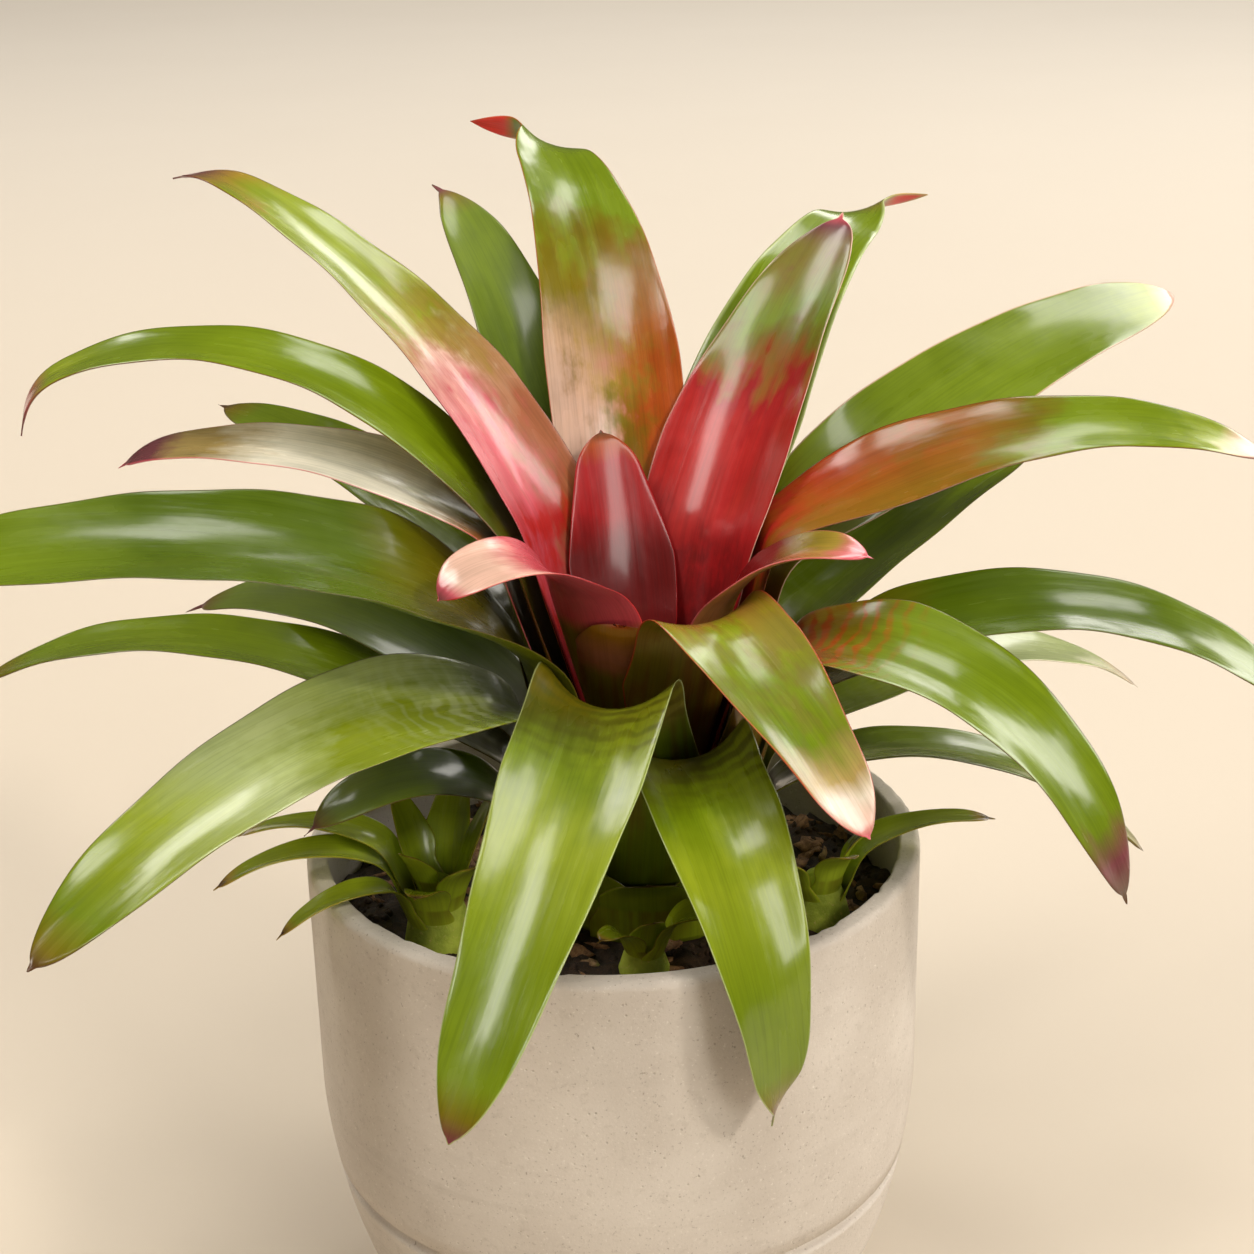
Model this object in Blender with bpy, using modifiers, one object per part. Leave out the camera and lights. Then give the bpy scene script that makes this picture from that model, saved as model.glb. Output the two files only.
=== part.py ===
# Neoregelia bromeliad in a round concrete pot: a water-holding rosette of strap leaves on a short
# stem, with three offsets at its foot. Metres, +Z up, origin in the middle of the pot's underside,
# -Y is the front.
from collections import namedtuple
from math import cos, hypot, pi, radians, sin, tan

import bmesh
import bpy
from mathutils import Matrix, Vector

MM = 0.001
GAP = 0.3 * MM

# Pot
POT_RADIUS = 100 * MM
POT_HEIGHT = 168 * MM
POT_WALL = 7 * MM
POT_FLOOR = 12 * MM
RIM_ROUND = 2.5 * MM
FOOT_RADIUS = 79.5 * MM
FOOT_HEIGHT = 11 * MM
BELLY_HEIGHT = 88 * MM
GROOVE_HEIGHT = 60 * MM
GROOVE_DEPTH = 2 * MM
POT_SIDES = 36

# Potting mix and what lies in it
SOIL_HEIGHT = 145 * MM
SOIL_SIDES = 32
SOIL_RELIEF = 2.2 * MM
LEVEL_RING = 12 * MM
CHIP_COUNT = 15
CHIP_SIZES = (5.0, 9.0)
CHIP_REACH = (52, 84)
GOLDEN_ANGLE = 2.39996
HOLE_DEPTH = 8 * MM
HUSK_PLACE = (24 * MM, -68 * MM)
HUSK_HALF_SIZES = (15 * MM, 8 * MM, 6.5 * MM)
HUSK_TURN = 25

# Crown of the rosette: its upright axis, and the cone that every sheath lies on
CROWN_X = 12 * MM
CROWN_Y = 0.0
SHEATH_PITCH = 74
FIRST_SHEATH = -4 * MM
SHEATH_STEP = 1.15 * MM
SHEATH_SPREAD = 44
SHEATH_FLAT = 0.03
STEM_RADIUS = 34 * MM
STEM_SIDES = 24
STEM_TOP_RADIUS = 6.5 * MM
STEM_TOP = 207 * MM

# Leaves
LEAF_THICKNESS = 0.9 * MM
LEAF_TIP_WIDTH = 1.4 * MM
SHOULDER = 14 * MM
CHANNEL_RADIUS = 48 * MM
SHEATH_CELLS = 2
BLADE_CELLS = 10
CELLS_ACROSS = 4
WIDEST = 0.3
FOLD_CROWDING = 1.5
TIP_CROWDING = 1.25
STEPS = 160

# azimuth: degrees from +X, counterclockwise from above. order: 0 is the innermost sheath.
# fold: height in mm where the blade leaves its sheath. launch, tip: pitch of the blade in degrees
# at its two ends, which change with the power bend. length, width: of the blade in mm.
# turn: sideways curve, roll: twist that lifts the left edge, hook: droop of the last seventh, in
# degrees. neck: width at the fold over the width of the blade.
Leaf = namedtuple(
    "Leaf", "name azimuth order fold launch tip bend length width turn roll hook neck finish"
)
LEAVES = (
    Leaf("heart_leaf_centre", 318, 0, 234, 76, 70, 1.0, 20, 16, 0, 0, 0, 1.0, "crimson"),
    Leaf("heart_leaf_back", 107, 1, 235, 74, 67, 1.0, 60, 37, 4, 0, 0, 0.95, "crimson"),
    Leaf("heart_leaf_right", 334, 2, 243, 66, -18, 1.3, 60, 36, 10, 2, 0, 0.95, "crimson"),
    Leaf("heart_leaf_left", 226, 3, 250, 67, -40, 1.2, 63, 40, -20, -6, 0, 1.05, "rose"),
    Leaf("inner_leaf_back_right", 54, 5, 254, 58, 38, 1.35, 126, 52, -6, 0, 0, 0.9, "crimson"),
    Leaf("heart_leaf_front", 255, 5, 236, 76, 72, 1, 16, 34, 0, 0, 0, 1.05, "olive"),
    Leaf("inner_leaf_back_left", 147, 5, 263, 58, 19, 1, 182, 46, 8, 2, 30, 0.95, "rose"),
    Leaf("inner_leaf_front_right", 298, 7, 247, 0, -50, 0.7, 97, 40, 18, 2, 0, 1.15, "olive"),
    Leaf("inner_leaf_right", 15, 9, 258, 24, -27, 1.6, 183, 34, -8, 28, 0, 0.8, "olive"),
    Leaf("inner_leaf_left_back", 171, 9.5, 259, 60, -37, 1.2, 196, 32, 8, -14, 40, 0.9, "green"),
    Leaf("inner_leaf_back", 98, 12, 260, 64, -4, 1.7, 181, 48, 13, 2, 0, 0.85, "rose"),
    Leaf("inner_leaf_left", 173, 14, 261, 46, -11, 0.75, 132, 39, 1, -9, 20, 0.9, "rose"),
    Leaf("upper_leaf_back_right", 62, 14, 246, 56, -6, 1.4, 190, 44, 0, 14, 0, 0.75, "green"),
    Leaf("upper_leaf_right", 33, 17, 244, 36, -5, 1.0, 225, 40, 12, 46, 0, 0.75, "green"),
    Leaf("upper_leaf_back_left", 117, 16, 243, 66, 24, 1.3, 156, 37, 2, -6, 0, 0.65, "green"),
    Leaf("upper_leaf_left", 203, 16.5, 225, 72, -2, 0.42, 210, 60, 8, -18, 0, 0.75, "green"),
    Leaf("middle_leaf_front", 255, 19, 229, -12, -53, 0.65, 154, 44, -20, -3, 0, 1.0, "green"),
    Leaf("middle_leaf_right_back", 27, 19, 214, 32, 26, 1.0, 131, 41, -7, 1, 0, 0.7, "green"),
    Leaf("middle_leaf_left_back", 147, 19.5, 234, 38, 2, 0.9, 150, 38, -7, -10, 0, 0.85, "green"),
    Leaf("middle_leaf_right_front", 333, 21, 229, 43, -72, 0.7, 149, 44, -3, 12, 0, 0.85, "olive"),
    Leaf("middle_leaf_left_front", 212, 22, 212, 54, -34, 0.4, 184, 50, 8, -14, 0, 0.8, "green"),
    Leaf("middle_leaf_right", 354, 23, 206, 42, -43, 1.25, 182, 40, -10, 15, 0, 0.5, "green"),
    Leaf("lower_leaf_front", 283, 24, 207, 9, -99, 0.8, 132, 40, 33, 2, 0, 1.05, "green"),
    Leaf("middle_leaf_back", 85, 24, 206, 44, -22, 1.0, 170, 44, 0, 0, 0, 0.9, "green"),
    Leaf("lower_leaf_left_back", 163, 26, 195, 43, -25, 1.35, 136, 40, -8, -12, 0, 0.85, "green"),
    Leaf("lower_leaf_right", 21, 26, 188, 20, -40, 1.6, 162, 36, 4, 8, 0, 0.8, "green"),
    Leaf("lower_leaf_back_left", 132, 28, 194, 42, -36, 1.0, 168, 42, 0, 0, 0, 0.9, "green"),
    Leaf("lower_leaf_right_front", 350, 28, 178, 44, -48, 0.9, 138, 32, -4, -4, 0, 0.8, "green"),
    Leaf("lower_leaf_left", 176, 30, 187, 34, -30, 1.5, 192, 36, -2, -6, 0, 0.8, "green"),
    Leaf("lower_leaf_back_right", 62, 30, 188, 40, -42, 1.0, 164, 42, 0, 0, 0, 0.85, "green"),
    Leaf("lower_leaf_left_front", 206, 32.5, 175, 70, -36, 0.9, 86, 34, -4, -8, 0, 0.85, "green"),
    Leaf("lowest_leaf_back", 108, 32, 178, 38, -52, 1.0, 150, 40, 0, 0, 0, 0.9, "green"),
)

# Offsets at the foot: place in mm, and leaves as (azimuth, order, fold above the soil, launch,
# tip, bend, length, width, turn)
Pup = namedtuple("Pup", "name x y bulb_radius bulb_height leaves")
PUPS = (
    Pup("left_pup", -56, -30, 11, 24, (
        (182, 8, 22, 30, -35, 1.0, 62, 17, 8),
        (168, 7, 26, 32, -30, 1.0, 58, 16, -6),
        (214, 9, 16, 34, -40, 1.0, 48, 13, -10),
        (262, 8, 17, 45, 10, 1.0, 22, 15, 0),
        (310, 6, 20, 55, 30, 1.0, 20, 15, 0),
        (20, 4, 24, 70, 62, 1.0, 26, 11, 0),
        (75, 5, 24, 60, 50, 1.0, 30, 16, 0),
        (130, 3, 26, 65, 50, 1.0, 22, 14, 0),
        (235, 2, 25, 60, 40, 1.0, 14, 14, 0),
    )),
    Pup("right_pup", 66, -20, 10, 18, (
        (12, 8, 17, 32, -8, 1.0, 50, 15, -14),
        (185, 6, 14, 60, 45, 1.0, 20, 14, 0),
        (215, 7, 16, 45, 0, 1.0, 24, 14, 0),
        (290, 5, 18, 50, 20, 1.0, 22, 13, 0),
        (350, 3, 20, 60, 40, 1.0, 16, 12, 0),
    )),
    Pup("front_pup", 9, -51, 8, 12, (
        (345, 7, 12, 35, -10, 1.0, 30, 18, 0),
        (225, 6, 10, 30, -10, 1.0, 16, 14, 0),
        (285, 4, 12, 60, 40, 1.0, 12, 13, 0),
    )),
)

COLOURS = {
    "concrete": ((0.56, 0.52, 0.47), 0.85),
    "soil": ((0.05, 0.035, 0.025), 0.95),
    "stem": ((0.35, 0.38, 0.16), 0.6),
    "green": ((0.13, 0.30, 0.03), 0.35),
    "olive": ((0.32, 0.24, 0.05), 0.35),
    "rose": ((0.60, 0.20, 0.18), 0.35),
    "crimson": ((0.50, 0.02, 0.04), 0.35),
    "pup": ((0.30, 0.42, 0.06), 0.4),
}


def clear_scene():
    for obj in list(bpy.data.objects):
        bpy.data.objects.remove(obj, do_unlink=True)


def make_collection(name):
    collection = bpy.data.collections.new(name)
    bpy.context.scene.collection.children.link(collection)
    return collection


def material(name):
    found = bpy.data.materials.get(name)
    if found:
        return found
    colour, roughness = COLOURS[name]
    made = bpy.data.materials.new(name)
    made.use_nodes = True
    shader = made.node_tree.nodes["Principled BSDF"]
    shader.inputs["Base Color"].default_value = (*colour, 1.0)
    shader.inputs["Roughness"].default_value = roughness
    shader.inputs["Metallic"].default_value = 0.0
    made.diffuse_color = (*colour, 1.0)
    return made


def add_object(name, mesh, collection, finish):
    obj = bpy.data.objects.new(name, mesh)
    collection.objects.link(obj)
    mesh.materials.append(material(finish))
    return obj


def finished_mesh(obj):
    """the object's mesh as its modifiers leave it, in the world"""
    bpy.context.view_layer.update()
    graph = bpy.context.evaluated_depsgraph_get()
    mesh = bpy.data.meshes.new_from_object(obj.evaluated_get(graph))
    mesh.transform(obj.matrix_world)
    return mesh


def turned(name, profile, sides, collection, finish):
    """a solid of revolution about Z from (radius, height) points, outer side top to bottom"""
    mesh = bpy.data.meshes.new(name)
    points = [(radius, 0.0, height) for radius, height in profile]
    mesh.from_pydata(points, [(i, i + 1) for i in range(len(points) - 1)], [])
    obj = add_object(name, mesh, collection, finish)
    screw = obj.modifiers.new("turn", "SCREW")
    screw.steps = sides
    screw.render_steps = sides
    screw.use_merge_vertices = True
    screw.merge_threshold = 0.00001
    screw.use_smooth_shade = True
    return obj


def smooth(x):
    x = min(max(x, 0.0), 1.0)
    return x * x * (3 - 2 * x)


def mix(a, b, share):
    return a + (b - a) * share


def belly_radius(height):
    """the pot's outer radius: straight above the belly, then drawn in to the foot"""
    if height >= BELLY_HEIGHT:
        return POT_RADIUS
    down = min((BELLY_HEIGHT - height) / (BELLY_HEIGHT - FOOT_HEIGHT), 1.0)
    return FOOT_RADIUS + (POT_RADIUS - FOOT_RADIUS) * (1 - down ** 1.6) ** 0.7


def pot_profile():
    inner = POT_RADIUS - POT_WALL
    points = [(0.0, POT_FLOOR), (FOOT_RADIUS - POT_WALL, POT_FLOOR)]
    points += [(belly_radius(h) - POT_WALL, h) for h in (22 * MM, 50 * MM, BELLY_HEIGHT)]
    points.append((inner, POT_HEIGHT - 0.6 * MM))
    points.append((inner + 0.6 * MM, POT_HEIGHT))
    for step in range(4):
        turn = radians(90 - 30 * step)
        points.append((
            POT_RADIUS - RIM_ROUND + RIM_ROUND * cos(turn),
            POT_HEIGHT - RIM_ROUND + RIM_ROUND * sin(turn),
        ))
    points += [(belly_radius(h), h) for h in (BELLY_HEIGHT, 74 * MM)]
    lip = GROOVE_HEIGHT + 1.2 * MM
    ledge = GROOVE_HEIGHT - 1.6 * MM
    points.append((belly_radius(lip), lip))
    points.append((belly_radius(GROOVE_HEIGHT) - GROOVE_DEPTH, GROOVE_HEIGHT))
    points.append((belly_radius(ledge), ledge))
    points += [(belly_radius(h), h) for h in (44 * MM, 30 * MM, 20 * MM, FOOT_HEIGHT)]
    points += [(FOOT_RADIUS - 0.5 * MM, 1.5 * MM), (FOOT_RADIUS - 2 * MM, 0.0), (0.0, 0.0)]
    return points


def make_pot(parts):
    turned("pot", pot_profile(), POT_SIDES, parts, "concrete")


def soil_relief(x, y):
    """small heaps and hollows, flat where the stem and the offsets stand"""
    waves = sin(x * 210 + 1.3) * sin(y * 170 + 0.4) + 0.6 * sin(x * 95 - y * 130)
    nearest = hypot(x - CROWN_X, y - CROWN_Y) - STEM_RADIUS
    for pup in PUPS:
        nearest = min(nearest, hypot(x - pup.x * MM, y - pup.y * MM) - pup.bulb_radius * MM)
    return SOIL_RELIEF * waves * smooth(nearest / LEVEL_RING)


def chip_places():
    """bark chips strewn by the golden angle between the stem and the pot's wall"""
    for index in range(CHIP_COUNT):
        angle = index * GOLDEN_ANGLE
        reach = mix(*CHIP_REACH, (index * 0.618) % 1.0) * MM
        x = CROWN_X * (1 - index % 2) * 0.5 + reach * cos(angle)
        y = reach * sin(angle)
        size = mix(*CHIP_SIZES, (index * 0.377) % 1.0) * MM
        clear = all(
            hypot(x - pup.x * MM, y - pup.y * MM) > pup.bulb_radius * MM + 1.3 * size
            for pup in PUPS
        )
        clear = clear and hypot(x - HUSK_PLACE[0], y - HUSK_PLACE[1]) > HUSK_HALF_SIZES[0] + size
        if clear and hypot(x, y) + size < POT_RADIUS - POT_WALL - 2 * MM:
            yield x, y, size, angle


def chip_mesh(x, y, size, angle):
    bm = bmesh.new()
    bmesh.ops.create_cube(bm, size=1.0)
    shape = Matrix.Diagonal((size * 1.5, size * 0.9, size * 0.55, 1.0))
    tilt = Matrix.Rotation(0.35 * sin(3 * angle), 4, "Y") @ Matrix.Rotation(0.3, 4, "X")
    lift = SOIL_HEIGHT + soil_relief(x, y) + 0.12 * size
    place = Matrix.Translation((x, y, lift)) @ Matrix.Rotation(angle * 1.7, 4, "Z")
    bm.transform(place @ tilt @ shape)
    mesh = bpy.data.meshes.new("chip")
    bm.to_mesh(mesh)
    bm.free()
    return mesh


def husk_mesh():
    """the larger mossy lump of husk at the front, a rough ellipsoid half sunk in the mix"""
    bm = bmesh.new()
    bmesh.ops.create_icosphere(bm, subdivisions=2, radius=1.0)
    for vertex in bm.verts:
        vertex.co *= 1 + 0.12 * sin(5 * vertex.co.x + 2) * cos(4 * vertex.co.y)
    x, y = HUSK_PLACE
    place = Matrix.Translation((x, y, SOIL_HEIGHT + soil_relief(x, y) + 0.4 * MM))
    turn = Matrix.Rotation(radians(HUSK_TURN), 4, "Z")
    bm.transform(place @ turn @ Matrix.Diagonal((*HUSK_HALF_SIZES, 1.0)))
    mesh = bpy.data.meshes.new("husk")
    bm.to_mesh(mesh)
    bm.free()
    return mesh


def round_cutter(name, x, y, radius, top, bottom, cutters):
    bm = bmesh.new()
    bmesh.ops.create_cone(
        bm, cap_ends=True, segments=24, radius1=radius, radius2=radius, depth=top - bottom
    )
    bm.transform(Matrix.Translation((x, y, (top + bottom) / 2)))
    mesh = bpy.data.meshes.new(name)
    bm.to_mesh(mesh)
    bm.free()
    obj = bpy.data.objects.new(name, mesh)
    cutters.objects.link(obj)
    obj.hide_render = True
    obj.display_type = "WIRE"
    return obj


def join_shapes(base, meshes, collection_name):
    """one Boolean union of the base object with loose meshes, applied; the shapes are removed"""
    shapes = make_collection(collection_name)
    for index, mesh in enumerate(meshes):
        obj = bpy.data.objects.new(f"{collection_name}_{index}", mesh)
        shapes.objects.link(obj)
    union = base.modifiers.new("join", "BOOLEAN")
    union.operation = "UNION"
    union.operand_type = "COLLECTION"
    union.collection = shapes
    union.solver = "EXACT"
    joined = finished_mesh(base)
    base.modifiers.clear()
    base.data = joined
    for obj in list(shapes.objects):
        bpy.data.objects.remove(obj, do_unlink=True)
    bpy.data.collections.remove(shapes)


def make_potting_mix(parts, cutters):
    wall = POT_RADIUS - POT_WALL - GAP
    points = [(0.0, SOIL_HEIGHT)]
    points += [(r * MM, SOIL_HEIGHT) for r in (22, 42, 56, 68, 80)]
    points.append((wall - 0.5 * MM, SOIL_HEIGHT - 2 * MM))
    points.append((wall - 0.2 * MM, BELLY_HEIGHT))
    points += [(belly_radius(h) - POT_WALL - 2 * GAP, h) for h in (50 * MM, 22 * MM)]
    points += [(FOOT_RADIUS - POT_WALL - 1 * MM, POT_FLOOR + GAP), (0.0, POT_FLOOR + GAP)]
    soil = turned("potting_mix", points, SOIL_SIDES, parts, "soil")
    heap = finished_mesh(soil)
    soil.modifiers.clear()
    soil.data = heap
    for vertex in heap.vertices:
        if vertex.co.z > SOIL_HEIGHT - 1 * MM:
            vertex.co.z += soil_relief(vertex.co.x, vertex.co.y)
    chips = [chip_mesh(*place) for place in chip_places()]
    join_shapes(soil, chips + [husk_mesh()], "chips")
    holes = [("stem_hole", CROWN_X, CROWN_Y, STEM_RADIUS + GAP + 0.4 * MM)]
    holes += [
        (f"{pup.name}_hole", pup.x * MM, pup.y * MM, pup.bulb_radius * MM + GAP + 0.2 * MM)
        for pup in PUPS
    ]
    for name, x, y, radius in holes:
        cutter = round_cutter(
            name, x, y, radius, SOIL_HEIGHT + 20 * MM, SOIL_HEIGHT - HOLE_DEPTH, cutters
        )
        cut = soil.modifiers.new(name, "BOOLEAN")
        cut.operation = "DIFFERENCE"
        cut.object = cutter
        cut.solver = "EXACT"


def make_stem(parts):
    foot = SOIL_HEIGHT - HOLE_DEPTH + GAP
    profile = [
        (0.0, STEM_TOP),
        (STEM_TOP_RADIUS, STEM_TOP),
        (STEM_RADIUS, SOIL_HEIGHT + 1 * MM),
        (STEM_RADIUS - 1 * MM, foot),
        (0.0, foot),
    ]
    stem = turned("stem", profile, STEM_SIDES, parts, "stem")
    stem.location = (CROWN_X, CROWN_Y, 0.0)


def sheath_base(order):
    """height at which a sheath of this order springs from the stem"""
    cone = 1 / tan(radians(SHEATH_PITCH))
    start = FIRST_SHEATH + order * SHEATH_STEP
    flare = (STEM_RADIUS - STEM_TOP_RADIUS) / (STEM_TOP - SOIL_HEIGHT)
    clear = LEAF_THICKNESS / 2 + GAP + SHEATH_FLAT * STEM_RADIUS
    return SOIL_HEIGHT + (STEM_RADIUS + clear - start) / (cone + flare)


def midrib(leaf, base_height):
    """points (distance, share of blade, place, pitch, heading) from the sheath's foot to the tip"""
    cone = 1 / tan(radians(SHEATH_PITCH))
    start = FIRST_SHEATH + leaf.order * SHEATH_STEP
    fold = leaf.fold * MM
    azimuth = radians(leaf.azimuth)
    length = leaf.length * MM
    sheath = (fold - base_height) / sin(radians(SHEATH_PITCH))
    reach = start + cone * (base_height - SOIL_HEIGHT)
    place = Vector((
        CROWN_X + reach * cos(azimuth),
        CROWN_Y + reach * sin(azimuth),
        base_height,
    ))
    points = []
    total = sheath + length
    step = total / STEPS
    for index in range(STEPS + 1):
        distance = index * step
        share = min(max(distance - sheath, 0.0) / length, 1.0)
        arc = mix(leaf.launch, leaf.tip, share ** leaf.bend)
        arc -= leaf.hook * smooth((share - 0.86) / 0.14)
        pitch = radians(mix(SHEATH_PITCH, arc, smooth(share * length / SHOULDER)))
        heading = azimuth + radians(leaf.turn) * share ** 1.3
        points.append((distance, share, place.copy(), pitch, heading))
        place += step * Vector((cos(pitch) * cos(heading), cos(pitch) * sin(heading), sin(pitch)))
    return points, sheath


def blade_half_width(leaf, share):
    swell = sin(pi / 2 * min(share / WIDEST, 1.0))
    narrowing = mix(1.0, 0.42, (max(share - WIDEST, 0.0) / (1 - WIDEST)) ** 1.2)
    point = (1 - (max(share - 0.8, 0.0) / 0.2) ** 2.5) ** 0.6
    half = leaf.width * MM / 2 * mix(leaf.neck, 1.0, swell) * narrowing * point
    return max(half, LEAF_TIP_WIDTH / 2)


def sheath_half_width(leaf, rise, radius):
    top = leaf.width * MM / 2 * leaf.neck
    half = mix(1.25 * top, top, smooth((rise - 0.4) / 0.6))
    return min(half, radius * radians(SHEATH_SPREAD))


def leaf_point(leaf, point, sheath, across):
    """a point of the leaf's middle surface; across runs from -1 to 1 over the blade"""
    distance, share, place, pitch, heading = point
    radius = hypot(place.x - CROWN_X, place.y - CROWN_Y)
    left = Vector((-sin(heading), cos(heading), 0.0))
    open_up = smooth(share * leaf.length * MM / (1.5 * SHOULDER))
    lean = (pi / 2 - pitch) * open_up
    inward = Vector((-cos(lean) * cos(heading), -cos(lean) * sin(heading), sin(lean)))
    if share > 0:
        half = min(blade_half_width(leaf, share), radius * radians(SHEATH_SPREAD))
    else:
        half = sheath_half_width(leaf, distance / sheath, radius)
    channel = mix(radius, CHANNEL_RADIUS, open_up)
    roll = radians(leaf.roll) * smooth(share / 0.3)
    side = left * cos(roll) + inward * sin(roll)
    up = inward * cos(roll) - left * sin(roll)
    angle = half * across / channel
    return place + side * (channel * sin(angle)) + up * (channel * (1 - cos(angle)))


def row_distances(sheath, length, sheath_cells, blade_cells):
    rows = [sheath * i / sheath_cells for i in range(sheath_cells)]
    for i in range(blade_cells + 1):
        share = 1 - (1 - (i / blade_cells) ** FOLD_CROWDING) ** TIP_CROWDING
        rows.append(sheath + length * share)
    return rows


def make_leaf(leaf, parts):
    points, sheath = midrib(leaf, sheath_base(leaf.order))
    rows = row_distances(sheath, leaf.length * MM, SHEATH_CELLS, BLADE_CELLS)
    step = points[1][0]
    bm = bmesh.new()
    bmesh.ops.create_grid(bm, x_segments=len(rows) - 1, y_segments=CELLS_ACROSS, size=1.0)
    for vertex in bm.verts:
        row = round((vertex.co.x + 1) / 2 * (len(rows) - 1))
        nearest = points[min(round(rows[row] / step), STEPS)]
        vertex.co = leaf_point(leaf, nearest, sheath, vertex.co.y)
    bmesh.ops.triangulate(bm, faces=bm.faces[:])
    mesh = bpy.data.meshes.new(leaf.name)
    bm.to_mesh(mesh)
    bm.free()
    mesh.shade_smooth()
    obj = add_object(leaf.name, mesh, parts, leaf.finish)
    thick = obj.modifiers.new("thickness", "SOLIDIFY")
    thick.thickness = LEAF_THICKNESS
    thick.offset = 0.0


def pup_leaf_mesh(pup, values):
    azimuth, order, fold, launch, tip, bend, length, width, turn = values
    bm = bmesh.new()
    cells = 6 if length > 40 else 4
    bmesh.ops.create_grid(bm, x_segments=cells, y_segments=2, size=1.0)
    heading = radians(azimuth)
    foot_radius = pup.bulb_radius * MM * mix(0.25, 0.75, order / 9)
    place = Vector((
        pup.x * MM + foot_radius * cos(heading),
        pup.y * MM + foot_radius * sin(heading),
        SOIL_HEIGHT + mix(0.75, 0.25, order / 9) * pup.bulb_height * MM,
    ))
    rise = max(SOIL_HEIGHT + fold * MM - place.z, 1 * MM)
    total = rise + length * MM
    frames = {}
    fine = 24
    for index in range(cells * fine + 1):
        if index % fine == 0:
            frames[index // fine] = (place.copy(), heading, index / (cells * fine))
        share = min(max(index / (cells * fine) * total - rise, 0.0) / (length * MM), 1.0)
        arc = mix(launch, tip, share ** bend)
        pitch = radians(mix(70, arc, smooth(share / 0.2)))
        step = total / (cells * fine)
        place += step * Vector((cos(pitch) * cos(heading), cos(pitch) * sin(heading), sin(pitch)))
        heading += radians(turn) / (cells * fine)
    for vertex in bm.verts:
        row = round((vertex.co.x + 1) / 2 * cells)
        spot, facing, share = frames[row]
        half = width * MM / 2 * max((1 - share ** 2.4) ** 0.8, 0.05)
        half *= mix(0.7, 1.0, smooth(share / 0.35))
        across = vertex.co.y
        left = Vector((-sin(facing), cos(facing), 0.0))
        vertex.co = spot + left * half * across + Vector((0, 0, 0.35 * half * across * across))
    bmesh.ops.triangulate(bm, faces=bm.faces[:])
    mesh = bpy.data.meshes.new("pup_leaf")
    bm.to_mesh(mesh)
    bm.free()
    obj = bpy.data.objects.new("pup_leaf", mesh)
    bpy.context.scene.collection.objects.link(obj)
    thick = obj.modifiers.new("thickness", "SOLIDIFY")
    thick.thickness = LEAF_THICKNESS
    thick.offset = 0.0
    solid = finished_mesh(obj)
    bpy.data.objects.remove(obj, do_unlink=True)
    return solid


def make_pup(pup, parts):
    radius = pup.bulb_radius * MM
    foot = SOIL_HEIGHT - HOLE_DEPTH + GAP
    top = SOIL_HEIGHT + pup.bulb_height * MM
    profile = [
        (0.0, top),
        (0.4 * radius, top - 1.5 * MM),
        (0.8 * radius, mix(SOIL_HEIGHT, top, 0.5)),
        (radius, SOIL_HEIGHT + 1 * MM),
        (0.85 * radius, foot),
        (0.0, foot),
    ]
    bulb = turned(pup.name, profile, 14, parts, "pup")
    bulb.location = (pup.x * MM, pup.y * MM, 0.0)
    solid = finished_mesh(bulb)
    bulb.modifiers.clear()
    bulb.location = (0.0, 0.0, 0.0)
    bulb.data = solid
    bpy.context.view_layer.update()
    join_shapes(bulb, [pup_leaf_mesh(pup, values) for values in pup.leaves], "scales")


def main():
    clear_scene()
    parts = make_collection("neoregelia_bromeliad")
    cutters = make_collection("cutters")
    make_pot(parts)
    make_potting_mix(parts, cutters)
    make_stem(parts)
    for leaf in LEAVES:
        make_leaf(leaf, parts)
    for pup in PUPS:
        make_pup(pup, parts)


main()
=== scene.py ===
from collections import namedtuple
from functools import partial
from math import cos, hypot, pi, radians, sin, tan

import bmesh
import bpy
from mathutils import Matrix, Vector, noise


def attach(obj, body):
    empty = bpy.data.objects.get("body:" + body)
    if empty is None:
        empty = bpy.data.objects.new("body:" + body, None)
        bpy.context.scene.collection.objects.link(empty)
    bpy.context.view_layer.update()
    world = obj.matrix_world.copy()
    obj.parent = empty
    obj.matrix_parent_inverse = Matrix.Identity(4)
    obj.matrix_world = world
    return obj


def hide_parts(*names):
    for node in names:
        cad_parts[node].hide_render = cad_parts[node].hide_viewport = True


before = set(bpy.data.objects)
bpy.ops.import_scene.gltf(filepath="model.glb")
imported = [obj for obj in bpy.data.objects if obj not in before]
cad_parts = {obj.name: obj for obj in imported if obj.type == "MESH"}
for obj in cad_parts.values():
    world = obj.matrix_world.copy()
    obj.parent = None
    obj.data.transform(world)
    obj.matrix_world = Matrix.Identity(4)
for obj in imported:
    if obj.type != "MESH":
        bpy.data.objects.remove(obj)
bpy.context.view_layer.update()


# The pot is cast concrete: a straight round wall with a drawn-in belly, a fine groove turned above
# its foot, and a rim whose edge is a little chipped from the mould. The face is dry and unsealed.
POT_RADIUS = 0.100
POT_HEIGHT = 0.168
POT_WALL = 0.007
POT_FLOOR = 0.012
FOOT_RADIUS = 0.0795
FOOT_HEIGHT = 0.011
BELLY_HEIGHT = 0.088
GROOVE_HEIGHT = 0.060
GROOVE_DEPTH = 0.0026
GROOVE_HALF = 0.0022
RIM_ROUND = 0.0025
INNER_ROUND = 0.0012
BELLY_DROP = 1.6
BELLY_FULLNESS = 0.7
WALL_STEP = 0.0045
FOOT_STEP = 0.0035
GROOVE_STEPS = 6
POT_SIDES = 224
CHIPPED_BAND = 0.006
RIM_CHIPS = 0.0005
CHIP_BITE = 2.2
WALL_RIPPLE = 0.00012


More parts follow.
